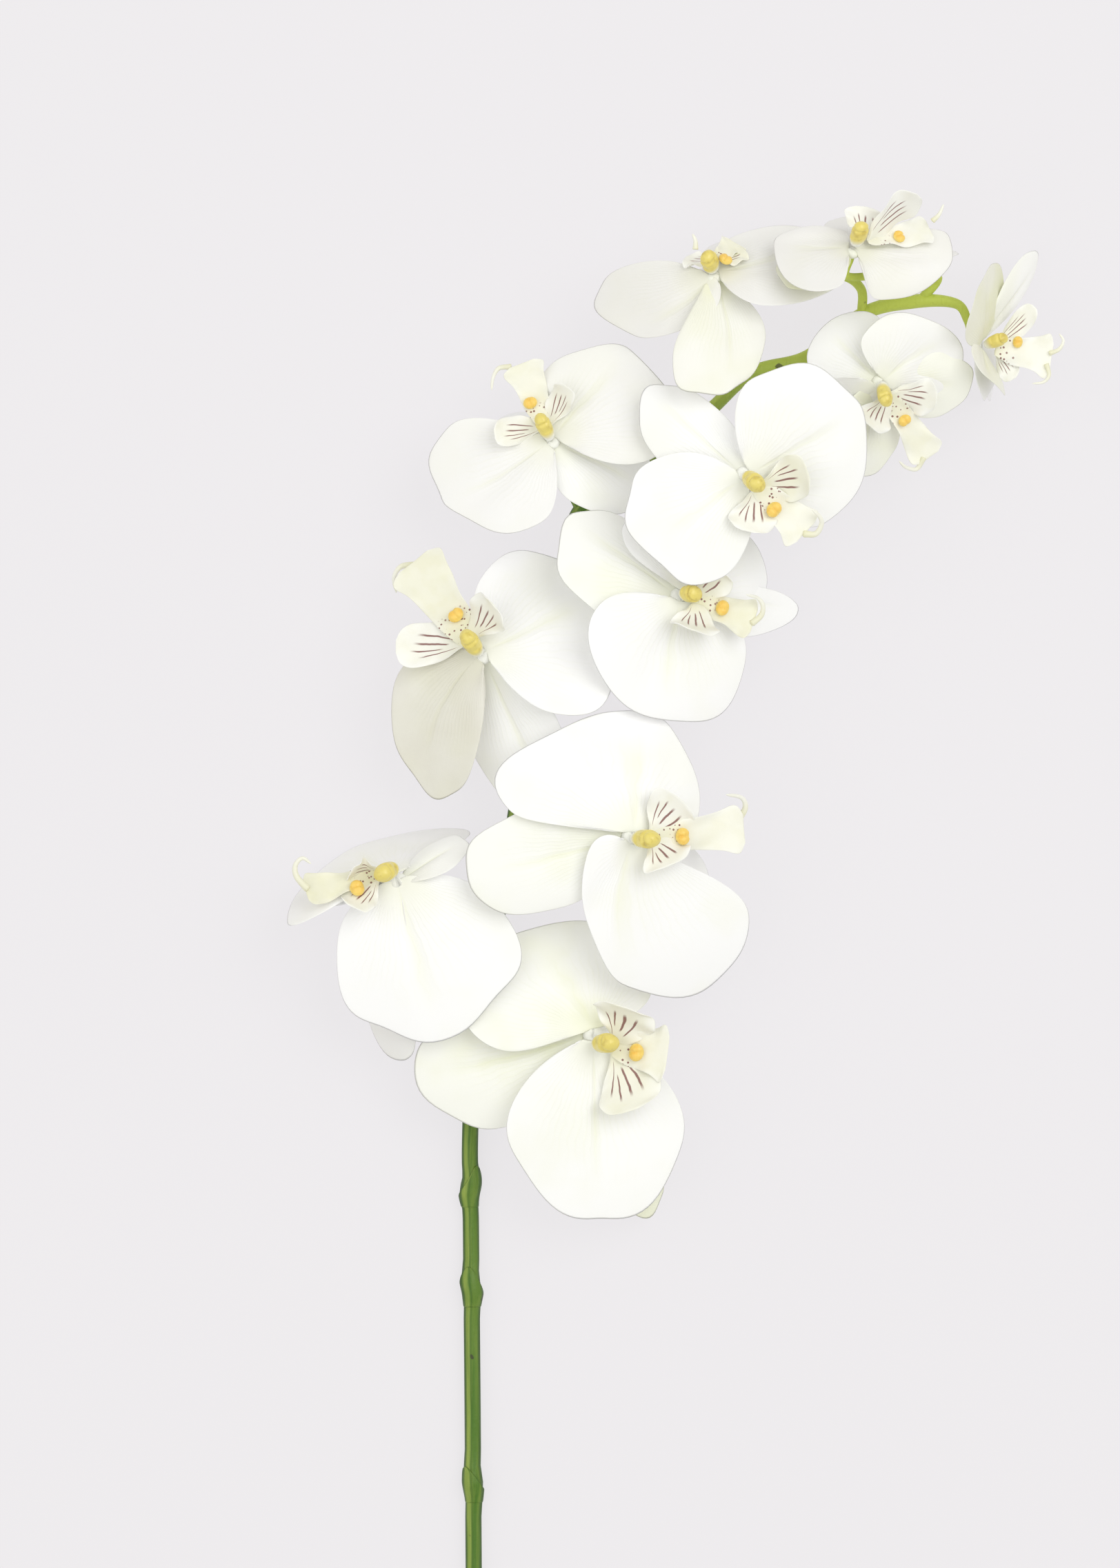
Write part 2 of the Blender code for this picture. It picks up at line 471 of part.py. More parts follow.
def ellipsoid(centre, half_axes, sides=6, rings=4):
    """Ball stretched to three half-axis vectors, its poles on the third."""
    a, b, c = (np.asarray(h, float) for h in half_axes)
    points, faces = [centre + c], []
    for i in range(1, rings):
        polar_angle = math.pi * i / rings
        for k in range(sides):
            turn = 2 * math.pi * (k + 0.37) / sides
            flat = math.cos(turn) * a + math.sin(turn) * b
            points.append(centre + math.sin(polar_angle) * flat + math.cos(polar_angle) * c)
    points.append(centre - c)
    last = len(points) - 1
    for k in range(sides):
        n = (k + 1) % sides
        faces += [(0, 1 + k, 1 + n), (last, last - sides + n, last - sides + k)]
        for i in range(rings - 2):
            p, q = 1 + i * sides + k, 1 + i * sides + n
            faces += [(p, p + sides, q + sides), (p, q + sides, q)]
    return points, faces


def fill_pockets(mesh):
    """Keeps the outer shell and drops the walls of any sealed pocket or sliver beside it."""
    work = bmesh.new()
    work.from_mesh(mesh)
    bmesh.ops.triangulate(work, faces=work.faces)
    left, shells = set(work.faces), []
    while left:
        shell, edge = [], [left.pop()]
        while edge:
            face = edge.pop()
            shell.append(face)
            for side in face.edges:
                for other in side.link_faces if len(side.link_faces) == 2 else ():
                    if other in left:
                        left.discard(other)
                        edge.append(other)
        shells.append(shell)
    shells.sort(key=len)
    for shell in shells[:-1]:
        bmesh.ops.delete(work, geom=shell, context="FACES")
    work.to_mesh(mesh)
    work.free()


def union(name, pieces, collection):
    """One object from closed pieces that overlap."""
    helpers = bpy.data.collections.new(name + "_pieces")
    bpy.context.scene.collection.children.link(helpers)
    body = from_rows(name, *pieces[0], collection)
    for k, piece in enumerate(pieces[1:]):
        from_rows(f"{name}_piece{k}", *piece, helpers)
    joined = body.modifiers.new("join", "BOOLEAN")
    joined.operation, joined.operand_type, joined.collection = "UNION", "COLLECTION", helpers
    joined.solver = "MANIFOLD"
    bpy.context.view_layer.update()
    whole = bpy.data.meshes.new_from_object(body.evaluated_get(bpy.context.evaluated_depsgraph_get()))
    body.modifiers.clear()
    old, body.data = body.data, whole
    bpy.data.meshes.remove(old)
    for helper in list(helpers.objects):
        mesh = helper.data
        bpy.data.objects.remove(helper)
        bpy.data.meshes.remove(mesh)
    bpy.data.collections.remove(helpers)
    whole.name = name
    fill_pockets(whole)
    return body


def colour(obj, name, rgb, rough):
    material = bpy.data.materials.get(name)
    if material is None:
        material = bpy.data.materials.new(name)
        material.use_nodes = True
        shader = material.node_tree.nodes["Principled BSDF"]
        shader.inputs["Base Color"].default_value = (*rgb, 1.0)
        shader.inputs["Roughness"].default_value = rough
        material.diffuse_color = (*rgb, 1.0)
    obj.data.materials.clear()
    obj.data.materials.append(material)


def build_tepals(number, pose, rows, collection):
    size = pose[-1]
    right, way, facing = axes_of(*pose[1:5])
    centre = np.array(pose[0], float)
    half_axes = [axis * half * size for axis, half in zip((right, way, facing), HUB_HALVES)]
    pieces = [ellipsoid(centre - 0.2 * facing * size, half_axes)]
    for role, row in rows.items():
        grid = GRIDS[role]
        pieces.append(slab(tepal_sheet(pose, role, row, grid), BLADE))
    obj = union(f"bloom_{number:02d}_tepals", pieces, collection)
    colour(obj, "petal_white", (0.9, 0.9, 0.84), 0.5)


def build_lip(number, pose, lip, collection):
    centre, size = np.array(pose[0], float), pose[-1]
    pieces = [slab(sheet, LIP_BLADE) for sheet in lip_sheets(pose, lip, LOBE_GRID)]
    for path in lip["hooks"]:
        line = centre + np.array(path)
        pieces.append(tube(line, np.linspace(*HOOK_RADII, len(line)) * size, 5))
    obj = union(f"bloom_{number:02d}_lip", pieces, collection)
    colour(obj, "lip_cream", (0.85, 0.85, 0.55), 0.45)


def build_column(number, pose, lip, collection):
    centre, size = np.array(pose[0], float), pose[-1]
    base, top = (centre + np.array(p) for p in lip["column"])
    line = base + COLUMN_SHARES[:, None] * (top - base)
    obj = from_rows(f"bloom_{number:02d}_column", *tube(line, COLUMN_RADII * size, 6), collection)
    colour(obj, "column_olive", (0.5, 0.42, 0.1), 0.35)


def build_callus(number, pose, lip, collection):
    size = pose[-1]
    _, tip, side, up = lip_frame(pose, lip)
    half_axes = [way * half * size for way, half in zip((unit(tip), side, up), CALLUS_HALVES)]
    pieces = ellipsoid(callus_seat(pose, lip), half_axes)
    obj = from_rows(f"bloom_{number:02d}_callus", *pieces, collection)
    colour(obj, "callus_orange", (0.8, 0.35, 0.03), 0.4)


def stalk_line():
    """Centre points and radii of the stalk, thicker at its nodes, with its lower end lying on the ground."""
    rows = smooth(STALK, 8)
    along = np.concatenate([[0], np.cumsum(np.linalg.norm(np.diff(rows[:, :3], axis=0), axis=1))])
    level_end = np.interp(LEVEL_Y, rows[:60, 1], along[:60])
    stations = [0.0, level_end] + list(np.linspace(level_end, along[-1], 24)[1:])
    for y in STEM_NODES:
        at = np.interp(y, rows[:60, 1], along[:60])
        stations += [at + d for d in (-NODE_HALF, -NODE_REACH, 0.0, NODE_REACH, NODE_HALF)]
    stations = np.array(sorted(stations))
    stations = stations[np.concatenate([[True], np.diff(stations) > 2.0])]
    path = np.stack([np.interp(stations, along, rows[:, k]) for k in range(3)], -1)
    radii = np.interp(stations, along, rows[:, 3])
    swell = sum(np.exp(-(((path[:, 1] - y) / NODE_REACH) ** 2)) for y in STEM_NODES)
    radii *= 1 + NODE_SWELL * swell
    level = path[:, 1] < LEVEL_Y + 0.1
    path[level, 2] = radii[level] * math.cos(math.pi / STALK_SIDES) + 0.15 * swell[level]
    return path, radii


def build_stem(collection):
    poses = {n: pose for n, (pose, _) in BLOOMS.items()}
    path, radii = stalk_line()
    pieces = [tube(path, radii, STALK_SIDES)]
    for n, line in PEDICELS.items():
        centre, size = np.array(poses[n][0], float), poses[n][-1]
        _, _, facing = axes_of(*poses[n][1:5])
        end = HUB_HALVES[2] * size + 0.2 * size + CLEAR
        line = smooth(list(line) + [centre - PEDICEL_REACH * facing * size, centre - end * facing], 2)
        pieces.append(tube(line, np.linspace(*PEDICEL_RADII, len(line)), 6))
    obj = union("stem", pieces, collection)
    colour(obj, "stem_green", (0.12, 0.25, 0.06), 0.5)


def main():
    for obj in list(bpy.data.objects):
        bpy.data.objects.remove(obj)
    collection = bpy.context.scene.collection
    build_stem(collection)
    for number, (pose, rows) in BLOOMS.items():
        build_tepals(number, pose, rows, collection)
        lip = LIPS[number]
        build_lip(number, pose, lip, collection)
        build_column(number, pose, lip, collection)
        build_callus(number, pose, lip, collection)


main()
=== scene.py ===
"""White moth orchid spray, laid on a pale table and seen from straight above.

Places are in millimetres, x and y in the plane of the picture, and SHIFT carries them over the origin
of the frame.
"""

import collections
import math

import bpy
import numpy as np
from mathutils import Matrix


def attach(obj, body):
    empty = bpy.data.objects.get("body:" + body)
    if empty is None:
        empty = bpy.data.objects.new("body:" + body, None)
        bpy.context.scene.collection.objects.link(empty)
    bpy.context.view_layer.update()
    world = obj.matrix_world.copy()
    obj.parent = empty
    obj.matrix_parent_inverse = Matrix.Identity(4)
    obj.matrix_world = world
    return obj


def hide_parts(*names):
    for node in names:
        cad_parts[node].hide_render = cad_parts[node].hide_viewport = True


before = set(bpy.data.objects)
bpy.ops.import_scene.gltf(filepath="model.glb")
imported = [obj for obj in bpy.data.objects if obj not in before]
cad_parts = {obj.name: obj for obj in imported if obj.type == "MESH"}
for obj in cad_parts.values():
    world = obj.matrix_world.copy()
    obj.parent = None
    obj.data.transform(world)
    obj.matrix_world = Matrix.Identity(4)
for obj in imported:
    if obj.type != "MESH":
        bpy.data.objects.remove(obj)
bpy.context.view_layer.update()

bl_info = {
    "name": "Moth orchid spray",
    "version": (1, 0, 0),
    "blender": (4, 5, 0),
    "location": "3D View > Sidebar > Orchid",
    "description": "A cut spray of white moth orchids on a pale table",
    "category": "Object",
}

MM = 0.001
SHIFT = (-40.42, 75.84)
SEED = 7

# Tepals of a bloom, in the order of the rows and values that are given for them.
ROLES = ("petal_l", "petal_r", "dorsal", "sepal_l", "sepal_r")
PETALS = ROLES[:2]
# Form of a sepal that shows little: the last four values of its row.
PLAIN = (0.85, 0.9, 0.0, 0)
# By bloom: its centre, how far its face leans from +Z, direction of the lean, direction and dip of the
# lip, and size. Then a row for each tepal: its tip from the centre, left and right half-widths, how far
# out its widest place lies (a power), fullness of its shoulders, sideways sweep and roll.
BLOOMS = {
    1: (((-2.9, 119.4, 42), 26, 117, 117, 0, 0.9), (
        (-33, -28.5, -4, 24, 27, 0.9, 1.3, 0.2, -8),
        (24.5, 34.5, -2, 18.5, 35.5, 1.15, 0.95, 0.1, 2),
        (35, -17, -10, 14.5, 18, 1.05, 0.9, -0.05, 2),
        (-27, 2.5, -41.8, 12, 12, *PLAIN),
        (8.5, 28, -34, 12, 12, *PLAIN),
    )),
    2: (((53.2, 175.8, 58), 50, 90, 75, 0, 0.9), (
        (-15, -28.5, -2, 10, 32.5, 0.9, 0.8, 0.5, -6),
        (44, 9, -10, 20, 24, 1.05, 0.75, -0.05, 3),
        (14.5, -38.5, 6, 14, 22.5, 0.7, 1.2, 0.3, 3),
        (-15.5, 2, -38, 13, 13, *PLAIN),
        (18, 15, -38, 13, 13, *PLAIN),
    )),
    3: (((100.6, 183.5, 66), 60, 80, 55, 0, 0.85), (
        (-27.5, 0.5, -2, 23.5, 13, 1.8, 0.7, 0.05, -11),
        (34.5, 5.5, -12, 7, 20, 2.1, 0.55, 0, 30),
        (-23, -13, 5, 8, 14, 0.9, 0.9, 0.1, -15),
        (3, 15, -30, 11.5, 13.5, 0.9, 0.9, 0.05, -3),
        (37.5, 2, -24, 9, 9, 0.9, 0.9, 0, 0),
    )),
    4: (((146.5, 153.5, 36), 72, -6, -45, 80, 0.75), (
        (1, 23.5, 16, 18.5, 22, 0.8, 0.95, 0, -4),
        (4.5, -15, 8, 20, 12, 1, 0.8, 0.1, 10),
        (6, -15, -14, 11, 11, *PLAIN),
        (22, 34, -20, 9, 6.5, 0.6, 1, 0.05, -4),
        (7.5, -14.5, -35.9, 8, 8, *PLAIN),
    )),
    5: (((110.9, 139.4, 50), 30, -45, -45, 0, 0.85), (
        (-22, -19.5, -14, 20, 20, 0.8, 0.8, 0, 0),
        (22, 22, -2, 19.5, 19.5, 1.45, 0.85, 0.2, -4),
        (-19.5, 20.5, -5, 16, 16, 0.95, 0.9, 0, 0),
        (-8.5, -33, -14, 13.5, 13, 0.9, 0.9, 0, 0),
        (33.5, 0, -14, 12, 13.5, 1, 0.9, -0.05, 1),
    )),
    6: (((63.8, 106.4, 63), 18, -40, -50, 0, 1.05), (
        (-35.5, -26, 1, 24, 24, 0.8, 0.8, 0, 12),
        (42, 23, -2, 30, 30.5, 1.3, 1.15, -0.05, 2),
        (-35, 30, -8, 16.5, 11.5, 1.15, 0.9, 0.05, -1),
        (5, -16.5, -38, 8, 10, *PLAIN),
        (36, -4.5, -36, 14, 14, *PLAIN),
    )),
    7: (((41.4, 65.1, 51), 30, 20, -5, 0, 1), (
        (-11, -43.5, -2, 31, 32, 1.4, 0.95, -0.1, 3),
        (17.5, 28, -8, 31, 29, 1.6, 0.7, 0.1, -2),
        (-40, 27.5, -6, 23.5, 14, 1.3, 0.9, 0, -2),
        (14, -28, -34, 14, 14, *PLAIN),
        (43, -4, -24, 6.5, 12.5, 1.2, 1.05, -0.05, 4),
    )),
    8: (((-26.9, 45, 40), 35, 150, 118, 0, 1.05), (
        (-34, -34, -14, 22, 22.5, 0.8, 1.1, -0.4, -14),
        (42.5, 20, -4, 33, 39.5, 1, 1, 0, 3),
        (25, -54.5, -8, 16, 20.5, 0.95, 0.9, -0.05, 0),
        (-22, -8, -34, 13, 13, *PLAIN),
        (8, 27.5, -34, 13, 13, *PLAIN),
    )),
    9: (((24.7, -18.7, 50), 30, 0, 5, 0, 1.1), (
        (-19.5, -45, -4, 53.5, 14.5, 1.75, 0.75, -0.3, 12),
        (3.5, 43.5, -4, 50.5, 26, 1.95, 0.8, 0, -11),
        (-58.5, -14, -2, 19, 18.5, 0.85, 0.95, 0, 0),
        (26, -28.5, -36, 15, 15, *PLAIN),
        (15, 25, -36, 15, 15, *PLAIN),
    )),
    10: (((-57.1, -33.3, 36), 57, 110, 195, 0, 1.1), (
        (15.5, -55.5, -2, 36, 30, 0.95, 0.85, 0, 0),
        (-20, 8, -32.6, 40.5, 37.5, 2, 1.25, 0.05, 7),
        (25, 14, 0, 10.5, 10.5, 0.7, 1, 0.05, 0),
        (2.5, -66.5, -18, 8, 19, 0.9, 0.9, 0, 0),
        (-25.5, -4, -32, 13, 13, *PLAIN),
    )),
    11: (((11.6, -87.8, 29), 10, 0, 0, 0, 1.15), (
        (-1, -67.5, -4, 33.5, 31.5, 1, 1.3, -0.05, -1),
        (-14.5, 41, -4, 40, 27.5, 1.4, 0.6, -0.15, 1),
        (-63, -18, -8, 24.5, 20, 0.85, 1, 0.05, -2),
        (20.5, -66.5, -20, 11, 12, 0.9, 0.9, 0, 0),
        (16, 6.5, -26, 14, 14, *PLAIN),
    )),
}
# How a petal and a sepal differ: how far the root lies in front of the bloom's centre, width of the
# root, rows and columns of points, depth of the groove along the midrib, share of the waves, and bend
# along and across.
PETAL = (1.2, 0.16, (10, 38), 0.7, 1.0, -14, -8)
SEPAL = (-1.2, 0.22, (9, 28), 0.5, 0.6, -18, -10)
# Petals that are more deeply cupped across.
CUPPED = {(3, "petal_r"): -20, (7, "petal_r"): -24, (9, "petal_r"): -26}
# How far from the centre a tepal starts, its widest root, and the sweep of its rim in degrees.
TEPAL_START, ROOT_MOST, RIM_SWEEP = 1.5, 4.0, 160.0

# Places from a bloom's centre: foot and top of the column, callus in plan, and tips of the middle and
# side lobes. Then the half-widths of the middle and side lobes, and the tendrils at the tip.
Lip = collections.namedtuple("Lip", "foot top callus tip left right wide lobe tendrils")
LIPS = {
    1: Lip(
        (-0.5, 1.1, 2.5), (-4.5, 8.5, 10), (-7.5, 13.5), (-10.5, 27.5, -4),
        (-20, 2.5, 3.5), (5, 19, 6.5), 7.2, 6,
        (((-14, 26.5, -6.5), (-18.5, 26, -7.5), (-20.5, 22.5, -5.5), (-21, 18, -2.5)),),
    ),
    2: Lip(
        (0, 2.1, 1.8), (-3, 6.5, 11.5), (4, 5.5), (7.5, 12, -6),
        (-10, 6.5, -3.5), (10.5, 9.5, -3), 5, 6,
        (((-6.5, 8.5, 7), (-6.5, 11.5, 7), (-7.5, 14, 7)),),
    ),
    3: Lip(
        (1.4, 2.4, 1.8), (3, 9, 10), (16.5, 5.5), (27.5, 8.5, -9),
        (3.5, 16, -3), (23, 18.5, 6), 6, 8.1,
        (((28, 11, -6), (30.5, 13.5, -6), (32, 17, -6)),),
    ),
    4: Lip(
        (2.2, -0.2, 0.7), (9, 2.5, 6.5), (13.5, 1), (25.5, -4, -2),
        (19.5, 13.5, -2), (12, -12, -3), 7.6, 4.3,
        (((24.5, -3, -1), (28, -1.5, -1), (29.5, 1.5, -1), (28, 4, -1)),
        ((23.5, -6.5, -1), (24.5, -10.5, -1), (22.5, -13, -1), (18.5, -13.5, -1))),
    ),
    5: Lip(
        (0.9, -0.9, 2.2), (2, -8, 10), (9, -13), (18, -25.5, -10),
        (20, -5.5, 1.5), (-3.5, -15.5, 5), 6.4, 7.6,
        (((16, -25.5, -9), (13.5, -29.5, -10), (9.5, -29, -7), (7, -27, -4)),),
    ),
    6: Lip(
        (0.8, -0.6, 3), (4.5, -4, 15), (10, -11.8), (21, -19.5, -0.5),
        (21.5, 1, 8), (1, -19.5, 5.5), 7.9, 9.1,
        (((20, -20, -0.5), (24.5, -20, -0.5), (26.5, -16.5, 1), (25.5, -14, 3), (23, -12, 5)),),
    ),
    7: Lip(
        (1.4, 0.5, 2.6), (6, 1, 9.5), (15, -4), (26, -8.5, -2),
        (11.5, 10.5, 4.5), (4.5, -12, 13.5), 7, 9.5,
        (((25, -9.5, -1.5), (28.5, -6.5, -1.5), (29, -3, 0), (27, -0.5, 1.5), (23, 0.5, 4.5)),),
    ),
    8: Lip(
        (-1.6, 0.9, 2.6), (-6, 7, 13.5), (-9.5, 14), (-24.5, 33, -12),
        (-30.5, 3, -2), (4, 17, 12), 10.5, 9.4,
        (((-24, 32, -15.5), (-29, 31.5, -18.5), (-31.5, 27.5, -17), (-30.5, 22, -13.5)),),
    ),
    9: Lip(
        (1.7, 0, 2.9), (8, -0.5, 15), (18, 0.5), (39.5, 3, -9),
        (16.5, 14, 3), (13.5, -9.5, 7.5), 8.2, 11.1,
        (((37.5, 6, -11.5), (40, 10.5, -11.5), (38.5, 14, -9.5), (33, 15, -5)),),
    ),
    10: Lip(
        (-1.4, 3.6, 2.8), (-5, 2, 16), (-13.5, -2.9), (-31.5, -4, 8),
        (-15, -9.5, 13), (-16, 2, 9), 6.6, 7.4,
        (((-30.5, -3.5, 9), (-34.5, 1, 9), (-35, 5, 9), (-32.5, 7.5, 9), (-29.5, 5.5, 9)),),
    ),
    11: Lip(
        (1.8, -3.4, 3.1), (6.5, -2, 16.5), (15, -6), (26, -6.5, 8.5),
        (9.5, 10.5, 13.5), (12.5, -26.5, 10.5), 9.8, 12.2, (),
    ),
}

# Stem from below the picture to its tip: x, y, z and radius.
STALK = (
    (-30.1, -355.9, 2.8, 2.9),
    (-30.6, -278.1, 2.8, 2.9),
    (-31.1, -208.6, 2.8, 2.9),
    (-31.6, -157.3, 2.8, 2.9),
    (-31.8, -123.2, 5.0, 2.9),
    (-29.3, -83.2, 9.0, 2.9),
    (-18.5, -27.7, 14.0, 2.8),
    (-9.5, 27.7, 18.0, 2.7),
    (2.0, 68.9, 22.0, 2.6),
    (7.0, 96.4, 24.0, 2.5),
    (33.2, 112.8, 26.0, 2.4),
    (52.7, 131.1, 28.0, 2.4),
    (67.7, 144.3, 30.0, 2.3),
    (86.7, 149.7, 31.0, 2.4),
    (106.0, 164.6, 32.0, 2.4),
    (123.8, 168.9, 33.0, 2.5),
    (138.3, 168.2, 33.0, 1.8),
    (142.5, 162.3, 34.0, 1.5),
    (143.7, 156.5, 35.0, 1.4),
)

# Flower stalks: points from the stem toward the back of each bloom.
PEDICELS = {
    1: ((7.0, 96.4, 24.0), (2.4, 105.7, 28.0)),
    2: (
        (105.7, 164.6, 32.0), (105.0, 173.2, 37.0), (96.8, 177.4, 44.0), (81.1, 177.3, 46.0),
        (65.4, 173.0, 48.0),
    ),
    3: ((126.9, 170.1, 33.0), (131.9, 176.7, 38.0), (125.5, 178.7, 46.0), (111.9, 176.6, 54.0)),
    5: ((86.7, 149.7, 31.0), (97.2, 144.0, 34.0)),
    6: ((48.4, 127.0, 27.5), (54.9, 117.3, 38.0)),
    7: ((9.2, 97.9, 24.0), (14.5, 89.3, 27.0), (26.0, 75.3, 34.0)),
    8: ((-10.4, 22.4, 17.5), (-16.0, 33.2, 21.0)),
    9: ((-15.0, -6.8, 16.0), (-2.3, -15.3, 24.0)),
    10: ((-19.2, -32.4, 13.5), (-36.1, -37.2, 19.0)),
    11: ((-27.8, -73.9, 10.0), (-11.4, -84.8, 12.0)),
}
# How far behind its bloom a flower stalk turns to face it, how far behind it ends, and its radius there.
PEDICEL_TURN, PEDICEL_END, PEDICEL_TIP = 11.0, 2.4, 1.3
# Steps to a span of the curves of the stem and of the thinner ones, and flat sides round the stem.
STEM_STEPS, CURVE_STEPS, STEM_SIDES = 12, 8, 20
# Where the nodes lie along the stem. Up to LEVEL_Y it lies flat, just clear of the table, and up to
# STRAIGHT_Y it runs along y, as the sheaths take it.
STEM_NODES = (-143.1, -178.5, -247.8)
LEVEL_Y, STRAIGHT_Y, CLEAR = -149.9, -120.0, 0.05

# Camera, in metres: distance to the plane of the blooms, height of that plane, and height of the
# picture on it. Its sensor is in millimetres.
VIEW_DISTANCE = 2.2
VIEW_PLANE = 0.045
VIEW_HEIGHT = 0.5458
SENSOR = 36.0
# Area lamps: name, watts, side in metres, place and turn.
LAMPS = (
    ("Window", 20.0, 1.6, (1.0, 0.7, 2.0), (-0.3, 0.45, 0.0)),
    ("Fill", 15.0, 2.4, (-1.3, 0.1, 2.0), (0.0, -0.55, 0.0)),
)
ROOM_COLOUR, ROOM_STRENGTH = (1.0, 0.995, 0.94, 1.0), 0.64
# Table: its side in metres, its own glow, how much light it throws back, and its unevenness.
TABLE_SIDE, TABLE_GLOW, TABLE_MATT, TABLE_UNEVEN = 6.0, 0.84, 0.14, 0.985

# Hub of a bloom: how far it lies behind the centre, half-width and half-depth.
HUB_BACK, HUB_WIDE, HUB_DEEP = 0.6, 3.2, 2.1
# Waver of a tepal's outline, and the groove, swells and crease of its face.
RIPPLE, RIPPLE_SEED, RELIEF_SEED = 0.042, 53, 31
RIB_WIDE, RIB_AT, RIB_LONG = 0.14, 0.35, 0.3
SWELL_TURNS, SWELL, CREASE, CREASE_WIDE = (2.6, 3.4), 2.4, 2.0, 0.14

# Column: its radius along it, how much thinner and deeper it is than round, points along and round it,
# its collar and the furrow of its hood.
COLUMN_SHARES = (0.0, 0.12, 0.3, 0.5, 0.7, 0.86, 0.95, 1.0)
COLUMN_RADII = (2.0, 2.5, 3.15, 3.35, 3.4, 2.85, 1.95, 0.7)
COLUMN_THIN, COLUMN_DEEP, COLUMN_GRID = 0.9, 1.25, (25, 20)
COLLAR_AT, COLLAR_WIDE, COLLAR_DEEP = 0.72, 0.05, 0.2
HOOD_FROM, HOOD_TURN, HOOD_WIDE, HOOD_DEEP = 0.35, 0.25, 0.08, 0.18

# Callus: half-axes, its gap over the lip, points round it and rings of them, and its furrow.
CALLUS_HALVES, CALLUS_GAP, CALLUS_GRID = (2.4, 2.8, 1.8), 0.25, (24, 16)
CALLUS_FURROW_WIDE, CALLUS_FURROW_DEEP = 0.2, 0.32

# Lip: where along the column its root lies, and how far in front of it.
LIP_ROOT_SHARE, COLUMN_GAP, COLUMN_FRONT = 0.17, 1.1, 2.8
# Half-width along each lobe, how narrow the back half of a side lobe is at its root and tip, and how far
# the lobes sag and are channelled.
MIDDLE_SHAPE = ((0.0, 0.35), (0.25, 0.6), (0.5, 0.7), (0.75, 0.85), (0.92, 1.05), (1.0, 0.6))
SIDE_SHAPE = ((0.0, 0.4), (0.25, 0.85), (0.5, 1.1), (0.75, 1.05), (0.93, 0.7), (1.0, 0.25))
SIDE_BACK = (0.1, 1.0)
MIDDLE_SAG, SIDE_SAG, CHANNEL = 0.05, 0.14, 0.12
# How far the side lobes start from the middle, rows and columns of points, and stripes.
LIP_ROOT, LIP_GRID, STRIPES = 1.2, (4, 16), 4.4
# Waves along the edge of a lobe, fewest and most, and how far they lean across it.
FRILL_TURNS, FRILL_LEAN = (1.6, 2.6), 0.3
# Radii along a tendril, and flat sides round it.
TENDRIL_SHARES, TENDRIL_RADII, TENDRIL_SIDES = (0, 0.15, 0.9, 1), (1.35, 1.15, 0.6, 0.15), 8

# How much thicker the stem is at a node, and over what length.
NODE_SWELL, NODE_LONG = 0.24, 4.5
# How far the stem steps aside above and below each node, where, over what length, and to which side.
NODE_SHIFT, NODE_STEP, NODE_STEP_LONG = 0.5, 3.5, 3.2
NODE_HANDS = (1, -1, -1)
# Sheath at each node: where round the stem its point stands (90 is up), and how far the point rises.
SHEATH_TURNS, SHEATH_RISES = (40, 105, 140), (8.0, 7.5, 6.0)
# How far below the node it starts, how tight it is there, how far it flares, and the lowest it comes.
SHEATH_FOOT, SHEATH_TIGHT, SHEATH_FLARE, SHEATH_FLOOR = 7.0, 0.985, 0.12, 0.25
# How sharp its point is, how far the rim falls below the node opposite it, as a share of the rise, and
# rows and columns of points.
SHEATH_SHARP, SHEATH_DIP, SHEATH_GRID = 1.6, 0.4, (9, 41)
# How far to the side the stem's skin faces at its painted highlight and at the painted line of shade
# beside it.
HIGHLIGHT_SIDE, SHADE_LINE_SIDE = -0.5, -0.12
# Along the spray, in metres, where the stem turns from green to yellow-green.
YOUNG_FROM_TO = (0.18, 0.245)

# How yellow-green each tepal is, from 0 for pure white to 1. Backs are greener; shaded sides get painted
# shade.
TEPAL_TINT_AND_GREEN_SHADE = {
    1: (0, 0, 0.12, 0, 0), 2: (0, 0, 0.25, 0, 0), 3: (0, 0, 0.8, 0, 0), 4: (0.7, 0.4, 0, 0.15, 0),
    5: (0, 0, 0, 0.4, 0.45), 6: (0, 0, 0, 0, 0), 7: (0, 0, 0.2, 0, 0), 8: (0.25, 0, 0.1, 0, 0),
    9: (0, 0, 0.2, 0, 0), 10: (0, 0, 0.2, 0, 0), 11: (0.05, 0.25, 0.35, 0.8, 0),
}
# How grey each tepal is, turned from the light: painted shade.
TEPAL_SHADE = {
    1: (0.15, 0.15, 0, 0, 0), 2: (0.3, 0.25, 0.2, 0.25, 0.25), 3: (0.3, 0.3, 0.2, 0.3, 0.3),
    4: (0.25, 0.2, 0, 0, 0), 5: (0.1, 0.1, 0, 0, 0), 6: (0, 0, 0, 0, 0), 7: (0, 0, 0, 0, 0),
    8: (0.6, 0, 0, 0, 0), 9: (0, 0, 0, 0, 0), 10: (0, 0.15, 0, 0.25, 0), 11: (0, 0, 0, 0, 0),
}
# Yellow-green of the middle lobe and of the two side lobes.
LIP_TINT = {
    1: (0.35, 0.15, 0.1), 2: (0.45, 0.1, 0.4), 3: (0.2, 0.1, 0.0), 4: (0.15, 0.1, 0.1),
    5: (0.35, 0.1, 0.1), 6: (0.25, 0.35, 0.1), 7: (0.55, 0.3, 0.15), 8: (0.45, 0.1, 0.15),
    9: (0.3, 0.05, 0.05), 10: (0.6, 0.1, 0.1), 11: (0.35, 0.2, 0.3),
}


def unit(v):
    v = np.asarray(v, float)
    return v / np.linalg.norm(v)


def polar(degrees, dip=0.0):
    a, d = math.radians(degrees), math.radians(dip)
    return np.array([math.cos(a) * math.cos(d), math.sin(a) * math.cos(d), -math.sin(d)])


